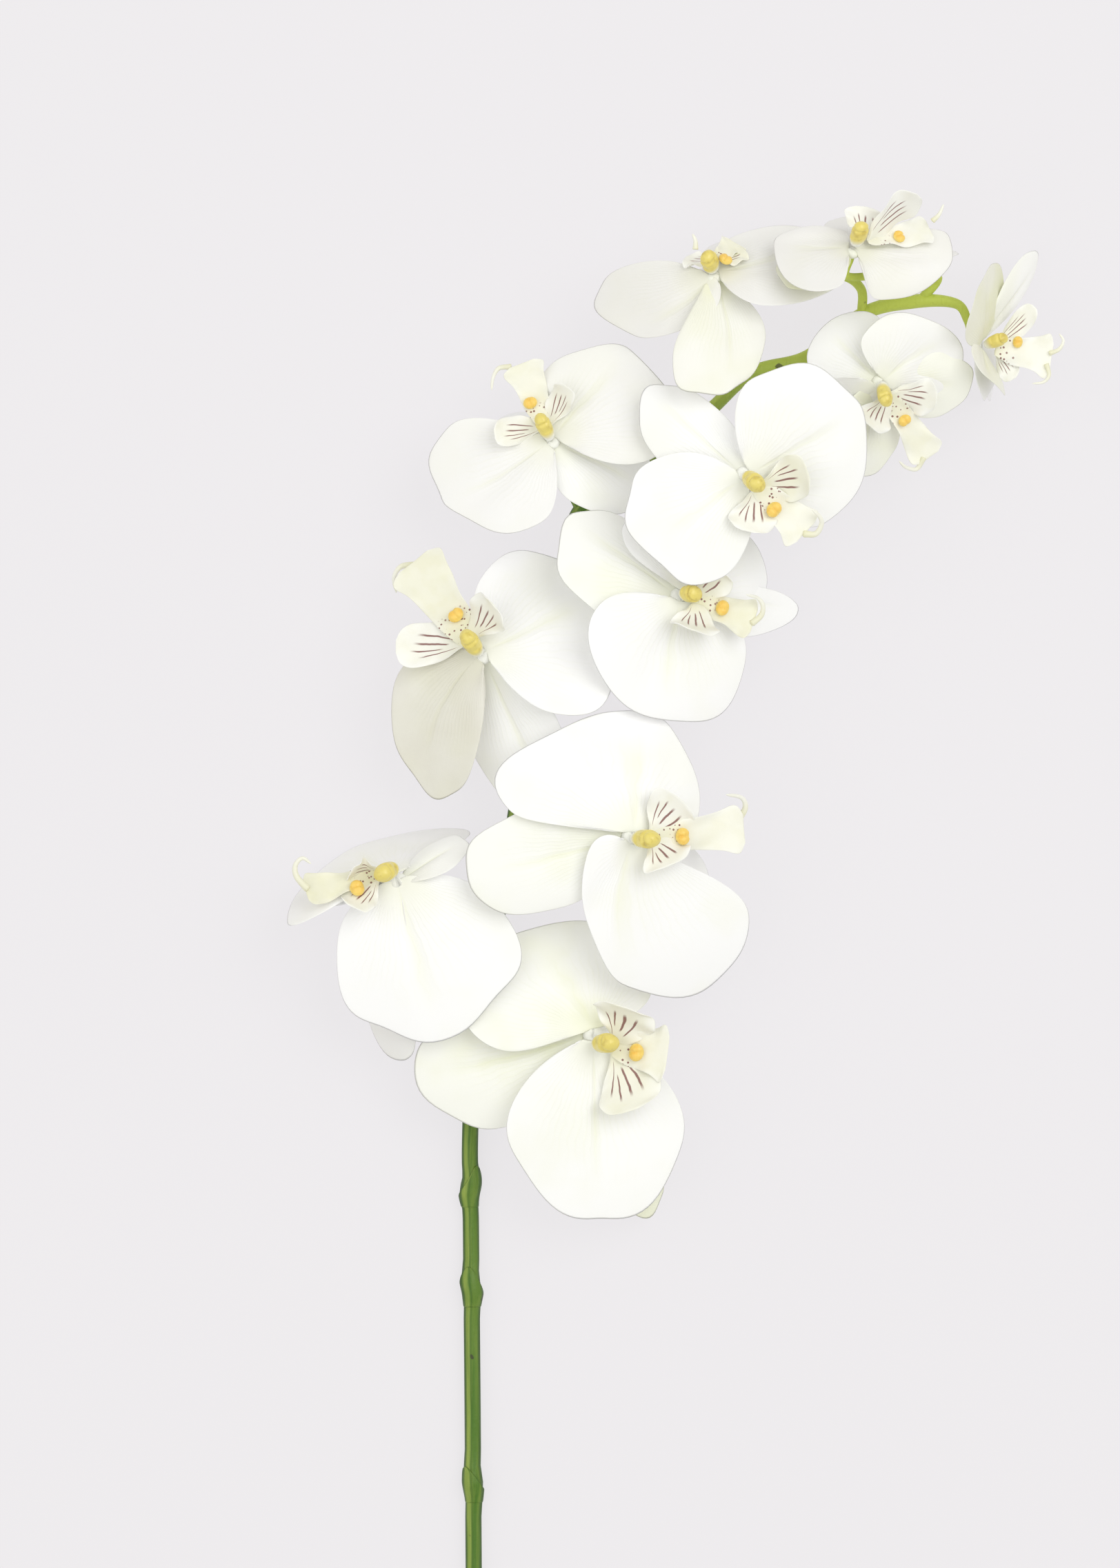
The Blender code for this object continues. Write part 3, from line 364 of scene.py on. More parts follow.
def axes_of(lean, toward, lip, dip):
    """Right, lip and facing directions of a bloom. Its upper sepal points away from the lip."""
    s, c = math.sin(math.radians(lean)), math.cos(math.radians(lean))
    facing = polar(toward) * s + np.array([0.0, 0.0, c])
    way = polar(lip, dip)
    way = unit(way - facing * (way @ facing))
    return np.cross(-way, facing), way, facing


def arc(t, total):
    """Point at share t of an arc of unit length that turns by total degrees: along and up."""
    a = math.radians(total)
    if abs(a) < 1e-4:
        return t, 0 * t
    return np.sin(a * t) / a, (1 - np.cos(a * t)) / a


def smooth(points, steps):
    """Catmull-Rom curve through the points, with this many steps to a span."""
    p = np.array(points, float)
    p = np.vstack([2 * p[0] - p[1], p, 2 * p[-1] - p[-2]])
    out = []
    for a, b, c, d in zip(p, p[1:], p[2:], p[3:]):
        for t in np.arange(steps) / steps:
            bend = (2 * a - 5 * b + 4 * c - d) * t * t + (3 * b - a - 3 * c + d) * t**3
            out.append(0.5 * (2 * b + (c - a) * t + bend))
    return np.array(out + [p[-2]])


def blade(length, left, right, grid, power, shoulder, skew, curl, cup, root, relief, ripple):
    """Points of a tepal along +y, face up, in rows outward from its root and columns round its rim."""
    rows, cols = grid
    v = np.linspace(-1, 1, cols + 1)
    phi = np.radians(RIM_SWEEP) * v
    width = left + right
    rim_x = np.where(phi < 0, left, right) * np.sign(np.sin(phi)) * np.abs(np.sin(phi)) ** shoulder
    rim_y = length * ((1 + np.cos(phi)) / 2) ** power
    rim_x, rim_y = rim_x * (1 + ripple(v)), rim_y * (1 + ripple(v))
    root_x = np.minimum(root * np.where(v < 0, left, right), ROOT_MOST) * v
    u = np.linspace(0, 1, rows + 1)[:, None]
    x = root_x + (rim_x - root_x) * u
    y = rim_y * u
    x = x + skew * width * (y / length) ** 2
    ax, rise = arc(np.abs(x) / (width / 2), cup)
    ay, height = arc(y / length, curl)
    a = np.radians(curl) * y / length
    across = np.sign(x) * ax * width / 2
    rise = rise * width / 2 + relief(u, v, x / (width / 2), y / length)
    return np.stack([across, ay * length - np.sin(a) * rise, height * length + np.cos(a) * rise], -1)


def aim(points, base, tip, facing, roll, curl):
    """Lays a blade's root on base and its tip on tip, with its face as near to facing as that allows."""
    chord = unit(tip - base)
    a = -math.radians(curl) / 2
    y = points[..., 1] * math.cos(a) - points[..., 2] * math.sin(a)
    z = points[..., 1] * math.sin(a) + points[..., 2] * math.cos(a)
    up = unit(facing - chord * (facing @ chord))
    side = np.cross(chord, up)
    r = math.radians(roll)
    side, up = math.cos(r) * side - math.sin(r) * up, math.sin(r) * side + math.cos(r) * up
    return base + points[..., 0:1] * side + y[..., None] * chord + z[..., None] * up


def ripple_of(number, role):
    """Small in and out of a tepal's outline as a share of its size, mostly inside the plain outline."""
    draw = np.random.default_rng(SEED + RIPPLE_SEED * number + sum(map(ord, role)))
    turns, starts = draw.uniform(2.5, 6.5, 4), draw.uniform(0, 2 * math.pi, 4)
    return lambda v: RIPPLE * (sum(np.sin(math.pi * t * v + s) for t, s in zip(turns, starts)) / 4 - 0.3)


def bump(x, place, width):
    """1 at its place, falling off smoothly over its width on both sides."""
    return np.exp(-(((x - place) / width) ** 2))


def relief_of(number, role, groove, wave):
    """Height over a tepal: a groove along the midrib, waves toward the rim and a faint unevenness."""
    draw = np.random.default_rng(SEED + RELIEF_SEED * number + sum(map(ord, role)))
    turns, starts = draw.uniform(1.2, 2.4, 3), draw.uniform(0, 2 * math.pi, 3)

    def relief(u, v, x, y):
        rib = -groove * bump(x, 0.0, RIB_WIDE) * bump(y, RIB_AT, RIB_LONG)
        rim = u**2 * sum(np.sin(math.pi * t * v + s) for t, s in zip(turns, starts)) / 3
        swell = np.sin(SWELL_TURNS[0] * x + starts[0]) * np.sin(SWELL_TURNS[1] * y + starts[1])
        crease = bump(x, turns[0] * 0.35 - 0.45, CREASE_WIDE) * y * (1 - y)
        return rib + wave * (rim + SWELL * swell * u * (1 - u) - CREASE * crease)

    return relief


def tepal_sheet(number, role, pose, row, wave):
    """Grid of points of a tepal in its place on the bloom."""
    centre, lean, toward, lip, dip, size = pose
    x, y, z, left, right, power, shoulder, skew, roll = row
    layer, root, grid, groove, share, curl, cup = PETAL if role in PETALS else SEPAL
    cup = CUPPED.get((number, role), cup)
    facing = axes_of(lean, toward, lip, dip)[2]
    out = np.array([x, y, z], float)
    flat = unit(out - facing * (out @ facing))
    base = np.array(centre, float) + (TEPAL_START * flat + layer * facing) * size
    tip = np.array(centre, float) + out
    h = math.radians(abs(curl)) / 2
    length = np.linalg.norm(tip - base) * (h / math.sin(h))
    relief = relief_of(number, role, groove, wave * share)
    form = power, shoulder, skew, curl, cup, root, relief, ripple_of(number, role)
    points = blade(length, left, right, grid, *form)
    return aim(points, base, tip, facing, roll, curl)


def lip_frame(pose, lip):
    """Foot of the lip, and the length, side and up directions of its middle lobe."""
    facing = axes_of(*pose[1:5])[2]
    base, top, tip = (np.array(p, float) for p in (lip.foot, lip.top, lip.tip))
    spine = unit(top - base)
    front = unit(tip - base - spine * ((tip - base) @ spine))
    foot = base + LIP_ROOT_SHARE * (top - base) + front * (COLUMN_GAP + COLUMN_FRONT * pose[-1])
    tip = tip - foot
    side = unit(np.cross(tip, unit(facing + np.array([0.0, 0.0, 1.0]))))
    return foot, tip, side, unit(np.cross(side, tip))


def lobe_sheet(root, tip, side, rise, half, shape, back, sag, channel, grid):
    """Rows of points across a lobe, from root to tip. Its back half is narrower, most at the root."""
    rows, cols = grid
    share, width = np.split(smooth(shape, rows), 2, axis=1)
    x = np.linspace(-1, 1, cols + 1)
    x = np.where(x < 0, x * (back[0] + (back[1] - back[0]) * share), x)
    hollow = np.linalg.norm(tip - root) * sag * 4 * share * (1 - share)
    lift = channel * half * (width * x) ** 2 - hollow
    spine = root + share * (tip - root)
    return spine[:, None] + (width * half * x)[..., None] * side + lift[..., None] * rise


def lip_sheets(pose, lip, grid):
    """Sheets of the flat middle lobe and of the two side lobes that stand up beside it."""
    centre, size = np.array(pose[0], float), pose[-1]
    foot, tip, side, up = lip_frame(pose, lip)
    root = centre + foot
    form = MIDDLE_SHAPE, (1.0, 1.0), MIDDLE_SAG, CHANNEL
    sheets = [lobe_sheet(root, root + tip, side, up, lip.wide, *form, grid)]
    lobes = [np.array(lobe, float) - foot for lobe in (lip.left, lip.right)]
    lobes.sort(key=lambda lobe: lobe @ side)
    for hand, lobe in zip((-1.0, 1.0), lobes):
        out = unit(lobe)
        ahead = unit(unit(tip) - out * (unit(tip) @ out))
        rise = np.cross(out, ahead) * (1 if np.cross(out, ahead) @ up > 0 else -1)
        start = root + side * hand * LIP_ROOT * size
        form = SIDE_SHAPE, SIDE_BACK, SIDE_SAG, 0.0
        sheets.append(lobe_sheet(start, root + lobe, ahead, rise, lip.lobe, *form, grid))
    return sheets


def callus_seat(pose, lip):
    """Centre of the callus, which sits on the middle lobe below its place in plan."""
    foot, tip, side, up = lip_frame(pose, lip)
    plan = np.array(lip.callus, float) - foot[:2]
    share = np.linalg.norm(plan) / np.linalg.norm(tip[:2])
    sag = MIDDLE_SAG * np.linalg.norm(tip) * 4 * share * (1 - share)
    lift = CALLUS_HALVES[2] * pose[-1] + CALLUS_GAP - sag
    a, b = np.linalg.solve(np.stack([tip[:2], side[:2]], 1), plan - lift * up[:2])
    return np.array(pose[0], float) + foot + a * tip + b * side + lift * up


class Shell:
    """Points, faces and per-point values of a piece while it is put together."""

    def __init__(self):
        self.points, self.faces, self.values, self.count = [], [], {}, 0

    def add(self, points, faces, **values):
        points = np.asarray(points, float).reshape(-1, 3)
        self.points.append(points)
        self.faces += [tuple(int(i) + self.count for i in face) for face in faces]
        for name, value in values.items():
            value = np.broadcast_to(value, len(points)).astype(float)
            self.values.setdefault(name, []).append(value)
        self.count += len(points)

    def add_leaf(self, sheet, thickness, **values):
        """Adds a closed leaf round a grid of points, with u across it and v along it."""
        rows, cols = (np.linspace(0, 1, n) for n in sheet.shape[:2])
        v, u = np.meshgrid(rows, cols, indexing="ij")
        self.add(*leaf(sheet, thickness), u=np.tile(u.ravel(), 2), v=np.tile(v.ravel(), 2), **values)

    def piece(self, name, material):
        """The finished object, with its per-point values as attributes and u and v as its UV map."""
        mesh = bpy.data.meshes.new(name)
        places = (np.vstack(self.points) + [*SHIFT, 0.0]) * MM
        mesh.from_pydata(places.tolist(), [], self.faces)
        values = {key: np.concatenate(value) for key, value in self.values.items()}
        if "u" in values:
            corners = np.empty(len(mesh.loops), np.int32)
            mesh.loops.foreach_get("vertex_index", corners)
            pairs = np.stack([values.pop("u")[corners], values.pop("v")[corners]], 1)
            mesh.uv_layers.new(name="UVMap").data.foreach_set("uv", pairs.astype(np.float32).ravel())
        for key, value in values.items():
            mesh.attributes.new(key, "FLOAT", "POINT").data.foreach_set("value", value.astype(np.float32))
        mesh.materials.append(material)
        obj = bpy.data.objects.new(name, mesh)
        bpy.context.scene.collection.objects.link(obj)
        finer = obj.modifiers.new("Finer", "SUBSURF")
        finer.levels = finer.render_levels = 1
        finer.uv_smooth = "PRESERVE_BOUNDARIES"
        settle(obj)
        obj.data.shade_smooth()
        return obj


def settle(obj):
    """Turns what the modifiers make into the object's own mesh."""
    bpy.context.view_layer.update()
    made = bpy.data.meshes.new_from_object(obj.evaluated_get(bpy.context.evaluated_depsgraph_get()))
    obj.modifiers.clear()
    old, obj.data = obj.data, made
    bpy.data.meshes.remove(old)
    made.name = obj.name


def leaf(sheet, thickness):
    """Closed leaf round a grid of points: points and faces. Thickness may change over the grid."""
    rows, cols = sheet.shape[0] - 1, sheet.shape[1] - 1
    outward, round_rim = np.gradient(sheet, axis=0), np.gradient(sheet, axis=1)
    normal = np.cross(round_rim, outward)
    normal /= np.linalg.norm(normal, axis=2)[..., None] + 1e-9
    half = normal * np.asarray(thickness)[..., None] / 2
    wide, total = cols + 1, (rows + 1) * (cols + 1)
    faces = []
    for i in range(rows):
        for j in range(cols):
            a = i * wide + j
            faces.append((a, a + 1, a + 1 + wide, a + wide))
            faces.append((a + total, a + wide + total, a + 1 + wide + total, a + 1 + total))
    edge = list(range(wide)) + [i * wide + cols for i in range(1, rows + 1)]
    edge += [rows * wide + j for j in range(cols - 1, -1, -1)]
    edge += [i * wide for i in range(rows - 1, 0, -1)]
    for a, b in zip(edge, edge[1:] + edge[:1]):
        faces.append((b, a, a + total, b + total))
    points = np.concatenate([(sheet + half).reshape(-1, 3), (sheet - half).reshape(-1, 3)])
    return points, faces


def ball(centre, axes, sides=20, rings=14):
    """Closed ball stretched to three half-axes: points, faces, and each point's turn and height."""
    a, b, c = (np.asarray(h, float) for h in axes)
    points, faces, turns, heights = [centre + c], [], [0.0], [1.0]
    for i in range(1, rings):
        fall = math.pi * i / rings
        for k in range(sides):
            turn = 2 * math.pi * k / sides
            flat = math.cos(turn) * a + math.sin(turn) * b
            points.append(centre + math.sin(fall) * flat + math.cos(fall) * c)
            turns.append(k / sides)
            heights.append(1 - i / rings)
    points.append(centre - c)
    turns.append(0.0)
    heights.append(0.0)
    last = len(points) - 1
    for k in range(sides):
        n = (k + 1) % sides
        faces += [(0, 1 + k, 1 + n), (last, last - sides + n, last - sides + k)]
        for i in range(rings - 2):
            p, q = 1 + i * sides + k, 1 + i * sides + n
            faces.append((p, p + sides, q + sides, q))
    return np.array(points), faces, np.array(turns), np.array(heights)


def lathe(path, radii, sides, squash=1.0, flat_way=None):
    """Closed tube along a path, squashed one way: points, faces, and each point's share and turn."""
    path = np.asarray(path, float)
    tangent = np.gradient(path, axis=0)
    tangent /= np.linalg.norm(tangent, axis=1)[:, None]
    side = np.cross(tangent[0], (0, 0, 1.0)) if flat_way is None else flat_way
    points, along, around = [], [], []
    for k, (centre, t, r) in enumerate(zip(path, tangent, radii)):
        side = unit(side - t * (side @ t))
        up = np.cross(side, t)
        for j in range(sides):
            a = 2 * math.pi * j / sides
            points.append(centre + r * (math.cos(a) * side + squash * math.sin(a) * up))
            along.append(k / (len(path) - 1))
            around.append(j / sides)
    faces = []
    for i in range(len(path) - 1):
        for k in range(sides):
            a, b = i * sides + k, i * sides + (k + 1) % sides
            faces.append((a, a + sides, b + sides, b))
    last = (len(path) - 1) * sides
    faces += [tuple(range(sides)), tuple(range(last, last + sides))[::-1]]
    return np.array(points), faces, np.array(along), np.array(around)


def sweep_group():
    """Geometry Nodes that turn a line of points into a round tube, by each point's radius attribute."""
    group = bpy.data.node_groups.new("Sweep along path", "GeometryNodeTree")
    group.is_modifier = True
    face = group.interface
    face.new_socket("Path", in_out="INPUT", socket_type="NodeSocketGeometry")
    sides = face.new_socket("Sides", in_out="INPUT", socket_type="NodeSocketInt")
    sides.default_value = 16
    face.new_socket("Finish", in_out="INPUT", socket_type="NodeSocketMaterial")
    face.new_socket("Tube", in_out="OUTPUT", socket_type="NodeSocketGeometry")

    def node(kind, inputs, **settings):
        made = group.nodes.new(kind)
        for key, value in settings.items():
            setattr(made, key, value)
        for key, value in inputs.items():
            if isinstance(value, bpy.types.NodeSocket):
                group.links.new(value, made.inputs[key])
            else:
                made.inputs[key].default_value = value
        return made.outputs[0] if made.outputs else None

    given = group.nodes.new("NodeGroupInput").outputs
    radius = node("GeometryNodeInputNamedAttribute", {"Name": "radius"}, data_type="FLOAT")
    curve = node("GeometryNodeMeshToCurve", {"Mesh": given["Path"]})
    curve = node("GeometryNodeSetCurveNormal", {"Curve": curve}, mode="MINIMUM_TWIST")
    ring = node("GeometryNodeCurvePrimitiveCircle", {"Resolution": given["Sides"], "Radius": 1.0})
    tube = {"Curve": curve, "Profile Curve": ring, "Scale": radius, "Fill Caps": True}
    tube = node("GeometryNodeCurveToMesh", tube)
    tube = node("GeometryNodeSetShadeSmooth", {"Geometry": tube})
    tube = node("GeometryNodeRealizeInstances", {"Geometry": tube})
    tube = node("GeometryNodeSetMaterial", {"Geometry": tube, "Material": given["Finish"]})
    node("NodeGroupOutput", {"Tube": tube})
    return group, {item.name: item.identifier for item in face.items_tree if item.in_out == "INPUT"}


def sweep(name, lines, material, sides):
    """One object of round tubes along lines, each a path in millimetres and the radius at its points."""
    group, sockets = sweep_group()
    mesh = bpy.data.meshes.new(name)
    edges, start = [], 0
    for path, _ in lines:
        edges += [(start + k, start + k + 1) for k in range(len(path) - 1)]
        start += len(path)
    places = (np.vstack([path for path, _ in lines]) + [*SHIFT, 0.0]) * MM
    mesh.from_pydata(places.tolist(), edges, [])
    radii = np.concatenate([radii for _, radii in lines]) * MM
    mesh.attributes.new("radius", "FLOAT", "POINT").data.foreach_set("value", radii.astype(np.float32))
    obj = bpy.data.objects.new(name, mesh)
    bpy.context.scene.collection.objects.link(obj)
    made = obj.modifiers.new("Sweep", "NODES")
    made.node_group = group
    made[sockets["Sides"]] = sides
    made[sockets["Finish"]] = material
    settle(obj)
    bpy.data.node_groups.remove(group)
    return obj


def sum_of(operation, swapped=False):
    """Method of a value that adds a Math node, with the other value first where swapped."""

    def combine(self, other):
        first, second = (other, self) if swapped else (self, other)
        return self.tree.node("ShaderNodeMath", {0: first, 1: second}, operation=operation)

    return combine


class Value:
    """A socket that takes part in sums, each adding its Math node."""

    def __init__(self, tree, socket):
        self.tree, self.socket = tree, socket

    __add__ = __radd__ = sum_of("ADD")
    __sub__, __rsub__ = sum_of("SUBTRACT"), sum_of("SUBTRACT", swapped=True)
    __mul__ = __rmul__ = sum_of("MULTIPLY")
    __truediv__, __pow__ = sum_of("DIVIDE"), sum_of("POWER")

    def __abs__(self):
        return self.tree.node("ShaderNodeMath", {0: self}, operation="ABSOLUTE")

    def function(self, operation, other=0.5):
        return sum_of(operation)(self, other)

    def step(self, low, high):
        """0 below low, 1 above high and a smooth ramp between them."""
        limits = {"Value": self, "From Min": low, "From Max": high}
        return self.tree.node("ShaderNodeMapRange", limits, interpolation_type="SMOOTHSTEP")


class Finish:
    """A material under construction, with its Principled shader."""

    def __init__(self, name, roughness, **constants):
        self.material = bpy.data.materials.new(name)
        self.material.use_nodes = True
        self.nodes, self.links = self.material.node_tree.nodes, self.material.node_tree.links
        self.shader = self.nodes["Principled BSDF"]
        self.shader.inputs["Roughness"].default_value = roughness
        for socket, value in constants.items():
            self.shader.inputs[socket.replace("_", " ")].default_value = value

    def node(self, kind, inputs=None, output=0, **settings):
        made = self.nodes.new(kind)
        for key, value in settings.items():
            setattr(made, key, value)
        for key, value in (inputs or {}).items():
            self.plug(made.inputs[key], value)
        return Value(self, made.outputs[output])

    def plug(self, socket, value):
        if isinstance(value, Value):
            self.links.new(value.socket, socket)
        else:
            socket.default_value = value

    def place(self):
        return self.node("ShaderNodeTexCoord", output="Object")

    def uv(self):
        spot = self.node("ShaderNodeSeparateXYZ", {0: self.node("ShaderNodeUVMap", uv_map="UVMap")})
        return spot, Value(self, spot.socket.node.outputs[1])

    def attribute(self, name):
        return self.node("ShaderNodeAttribute", output="Fac", attribute_name=name)

    def noise(self, scale, detail=3.0, where=None):
        where = where or self.place()
        return self.node("ShaderNodeTexNoise", {"Vector": where, "Scale": scale, "Detail": detail})

    def mix(self, first, second, share):
        colours = {"A": first, "B": second}
        made = self.nodes.new("ShaderNodeMix")
        made.data_type = "RGBA"
        self.plug(made.inputs[0], share)
        for socket in made.inputs:
            if socket.type == "RGBA":
                value = colours[socket.name]
                self.plug(socket, value if isinstance(value, Value) else (*value[:3], 1.0))
        return Value(self, next(s for s in made.outputs if s.type == "RGBA"))

    def finish(self, colour, height=None, depth=0.0005):
        """Plugs the colour, and a height in shares of depth metres as bump."""
        self.plug(self.shader.inputs["Base Color"], colour)
        if height is not None:
            inputs = {"Height": height, "Distance": depth, "Strength": 1.0}
            self.plug(self.shader.inputs["Normal"], self.node("ShaderNodeBump", inputs, output="Normal"))
        return self.material


def petal_finish(colours):
    """White petal: faint fanning veins, a green flush at the root, painted shade and a fine uneven grain.
    """
    made = Finish("petal_white", 0.45, Sheen_Weight=0.1, IOR=1.4)
    u, v = made.uv()
    warp = made.noise(90.0, 2.0)
    fan = ((u * 38.0 + warp * 2.2) * (2 * math.pi)).function("SINE")
    veins = (fan * 0.5 + 0.5) ** 6.0 * v.step(0.02, 0.3) * (1.0 - v.step(0.45, 0.9))
    flush = (1.0 - v.step(0.0, 0.4)) * 0.3
    midrib = 1.0 - abs(u - 0.5 + (warp - 0.5) * 0.02).step(0.0, 0.035)
    midrib = midrib * v.step(0.02, 0.2) * (1.0 - v.step(0.5, 0.9))
    patches = made.noise(38.0, 2.0).step(0.42, 0.72)
    # The tint attribute holds each tepal's own green and its painted green shade.
    tint = made.attribute("tint")
    green = tint * (patches * 0.5 + 0.6) + flush + patches * 0.14 + veins * 0.07 + midrib * 0.22
    green = green.function("MINIMUM", 1.0)
    colour = made.mix(colours.petal_white, colours.petal_green, green)
    # Painted shade: tepals turned from the light are pulled unevenly toward grey.
    shade = made.attribute("shade") * (made.noise(60.0, 3.0) * 0.6 + 0.6)
    colour = made.mix(colour, colours.petal_shade, shade)
    grain = made.noise(900.0, 2.0)
    return made.finish(colour, veins * 0.3 + grain * 0.2 - midrib * 1.2, 0.00015)


def lip_finish(colours):
    """Cream lip with dark stripes at the root of each side lobe and dots before the callus."""
    made = Finish("lip_cream", 0.4, IOR=1.4)
    u, v = made.uv()
    side = made.attribute("side")
    wobble = made.noise(260.0, 1.0) - 0.5
    fan = ((u - 0.5) / (v * 0.5 + 0.45) + wobble * 0.06) * STRIPES
    line = abs(fan.function("FRACT") - 0.5)
    reach = (fan.function("FLOOR") * 2.3).function("SINE") * 0.1
    ends = (v + reach).step(0.2, 0.26) * (1.0 - (v + reach * 0.6).step(0.52, 0.64))
    stripes = (1.0 - line.step(0.07, 0.16)) * (1.0 - abs(fan).step(1.98, 2.02)) * ends * side
    inputs = {"Vector": made.place(), "Scale": 620.0, "Randomness": 0.8}
    cells = made.node("ShaderNodeTexVoronoi", inputs)
    dots = (1.0 - cells.step(0.2, 0.3)) * v.step(0.03, 0.08) * (1.0 - v.step(0.26, 0.32))
    dots = dots * (1.0 - side)
    patches = made.noise(140.0, 2.0).step(0.4, 0.7) * 0.15
    deep = (1.0 - v.step(0.0, 0.3)) * 0.3
    edge = abs(u - 0.5).step(0.3, 0.5) * 0.15
    green = (made.attribute("tint") + patches + deep - edge).function("MAXIMUM", 0.0)
    green = green.function("MINIMUM", 1.0)
    colour = made.mix(colours.lip_cream, colours.lip_green, green)
    colour = made.mix(colour, colours.lip_mark, (stripes + dots).function("MINIMUM", 1.0) * 0.9)
    grain = made.noise(700.0, 2.0)
    return made.finish(colour, grain * 0.3, 0.0002)


def column_finish(colours):
    """Waxy gold column with rust mottling and a paler foot."""
    made = Finish("column_gold", 0.32, Coat_Weight=0.3, Coat_Roughness=0.2)
    _, v = made.uv()
    rust = made.noise(330.0, 4.0).step(0.5, 0.7) * 0.5
    colour = made.mix(colours.column_gold, colours.column_rust, rust)
    colour = made.mix(colours.lip_cream, colour, v.step(0.02, 0.35))
    return made.finish(colour, made.noise(800.0, 3.0), 0.0002)


def callus_finish(colours):
    """Golden callus, deeper at its top and in random patches."""
    made = Finish("callus_gold", 0.38, Coat_Weight=0.15)
    _, v = made.uv()
    deep = made.noise(420.0, 3.0).step(0.4, 0.7)
    colour = made.mix(colours.callus_yellow, colours.callus_orange, v.step(0.3, 0.9) * 0.45 + deep * 0.3)
    return made.finish(colour, made.noise(900.0, 2.0), 0.0003)


def stem_finish(colours):
    """Green stem, yellower toward the blooms, painted highlight and shade, long streaks and small dark
    scars.
    """
    made = Finish("stem_green", 0.4, IOR=1.33)
    place = made.place()
    spot = made.node("ShaderNodeSeparateXYZ", {0: place})
    along = Value(made, spot.socket.node.outputs[1])
    stretched = made.node("ShaderNodeMapping", {"Vector": place, "Scale": (1.0, 0.06, 1.0)})
    streaks = made.noise(620.0, 3.0, stretched).step(0.42, 0.66)
    pale = made.noise(230.0, 1.0, stretched).step(0.45, 0.6)
    facing = made.node("ShaderNodeTexCoord", output="Normal")
    aside = made.node("ShaderNodeSeparateXYZ", {0: facing}) + (made.noise(45.0, 1.0) - 0.5) * 0.3
    # Painted highlight along one side, and painted shade on both flanks and in a line beside it, by the
    # way the skin faces.
    highlight_band = 1.0 - abs(aside - HIGHLIGHT_SIDE).step(0.12, 0.34)
    flank = abs(aside).step(0.62, 0.92) + (1.0 - abs(aside - SHADE_LINE_SIDE).step(0.02, 0.16)) * 0.35
    young = (along + (made.noise(30.0, 2.0) - 0.5) * 0.03).step(*YOUNG_FROM_TO)
    colour = made.mix(colours.stem_green, colours.stem_pale_and_highlight, streaks * 0.2 + pale * 0.2 + highlight_band * 0.6)
    colour = made.mix(colour, colours.stem_flank_shade, (flank * 0.85).function("MINIMUM", 1.0))
    colour = made.mix(colour, colours.stem_young, young * 0.95)
    scars = made.noise(170.0, 1.0).step(0.72, 0.75)
    colour = made.mix(colour, colours.stem_scar, scars * 0.8)
    return made.finish(colour, streaks * 0.5 + made.noise(600.0, 3.0) * 0.5, 0.0003)


def bloom(number):
    """Pose, lip, centre and size of a bloom."""
    pose = BLOOMS[number][0]
    return pose, LIPS[number], np.array(pose[0], float), pose[-1]


def keep(piece, node=None):
    """Ties a finished piece to the body, and hides the imported solid that it stands for."""
    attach(piece, "root")
    if node:
        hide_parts(node)


def frill(sheet, seed, height):
    """Soft waves along the edges of a lobe, square to its surface."""
    draw = np.random.default_rng(SEED + seed)
    along, across = np.gradient(sheet, axis=0), np.gradient(sheet, axis=1)
    normal = np.cross(across, along)
    normal /= np.linalg.norm(normal, axis=2)[..., None] + 1e-9
    share = np.linspace(0, 1, sheet.shape[0])[:, None]
    edge = np.linspace(-1, 1, sheet.shape[1])[None, :]
    turns = draw.uniform(*FRILL_TURNS) * share + draw.uniform(0, 1) + FRILL_LEAN * edge
    waves = np.sin(2 * math.pi * turns)
    return normal * (height * waves * edge**2 * np.sin(math.pi * share**0.7))[..., None]


def make_tepals(number, sizes, material):
    pose, _, centre, size = bloom(number)
    right, way, facing = axes_of(*pose[1:5])
    hub = [right * HUB_WIDE * size, way * HUB_WIDE * size, facing * HUB_DEEP * size]
    points, faces, turn, _ = ball(centre - HUB_BACK * facing * size, hub)
    shell = Shell()
    shell.add(points, faces, u=turn, v=0.25, tint=0.15, shade=0.0)
    values = BLOOMS[number][1], TEPAL_TINT_AND_GREEN_SHADE[number], TEPAL_SHADE[number]
    for role, row, tint, shade in zip(ROLES, *values):
        sheet = tepal_sheet(number, role, pose, row, sizes.petal_wave / MM)
        rise = np.linspace(1.0, 0.0, sheet.shape[0])[:, None] ** 0.5 * np.ones(sheet.shape[1])
        thick = (sizes.rim_thickness + (sizes.petal_thickness - sizes.rim_thickness) * rise) / MM
        shell.add_leaf(sheet, thick, tint=tint, shade=shade)
    keep(shell.piece(f"petals_{number:02d}", material), f"bloom_{number:02d}_tepals")


def make_lip(number, sizes, material):
    pose, lip, centre, size = bloom(number)
    shell = Shell()
    for k, (sheet, tint) in enumerate(zip(lip_sheets(pose, lip, LIP_GRID), LIP_TINT[number])):
        sheet = sheet + frill(sheet, number * 3 + k, sizes.lip_frill / MM)
        share = np.linspace(-1, 1, sheet.shape[1])
        rise = (1 - share**2)[None, :] * np.linspace(1.0, 0.0, sheet.shape[0])[:, None] ** 0.3
        thick = (sizes.rim_thickness + (sizes.lip_thickness - sizes.rim_thickness) * rise) / MM
        shell.add_leaf(sheet, thick, tint=tint, side=float(k > 0))
    for path in lip.tendrils:
        line = smooth(centre + np.array(path), CURVE_STEPS)
        radii = np.interp(np.linspace(0, 1, len(line)), TENDRIL_SHARES, TENDRIL_RADII) * size
        points, faces, along, _ = lathe(line, radii, TENDRIL_SIDES)
        shell.add(points, faces, u=0.5, v=0.6, tint=np.clip(0.8 - along, 0.2, 1.0), side=0.0)
    keep(shell.piece(f"lip_{number:02d}", material), f"bloom_{number:02d}_lip")


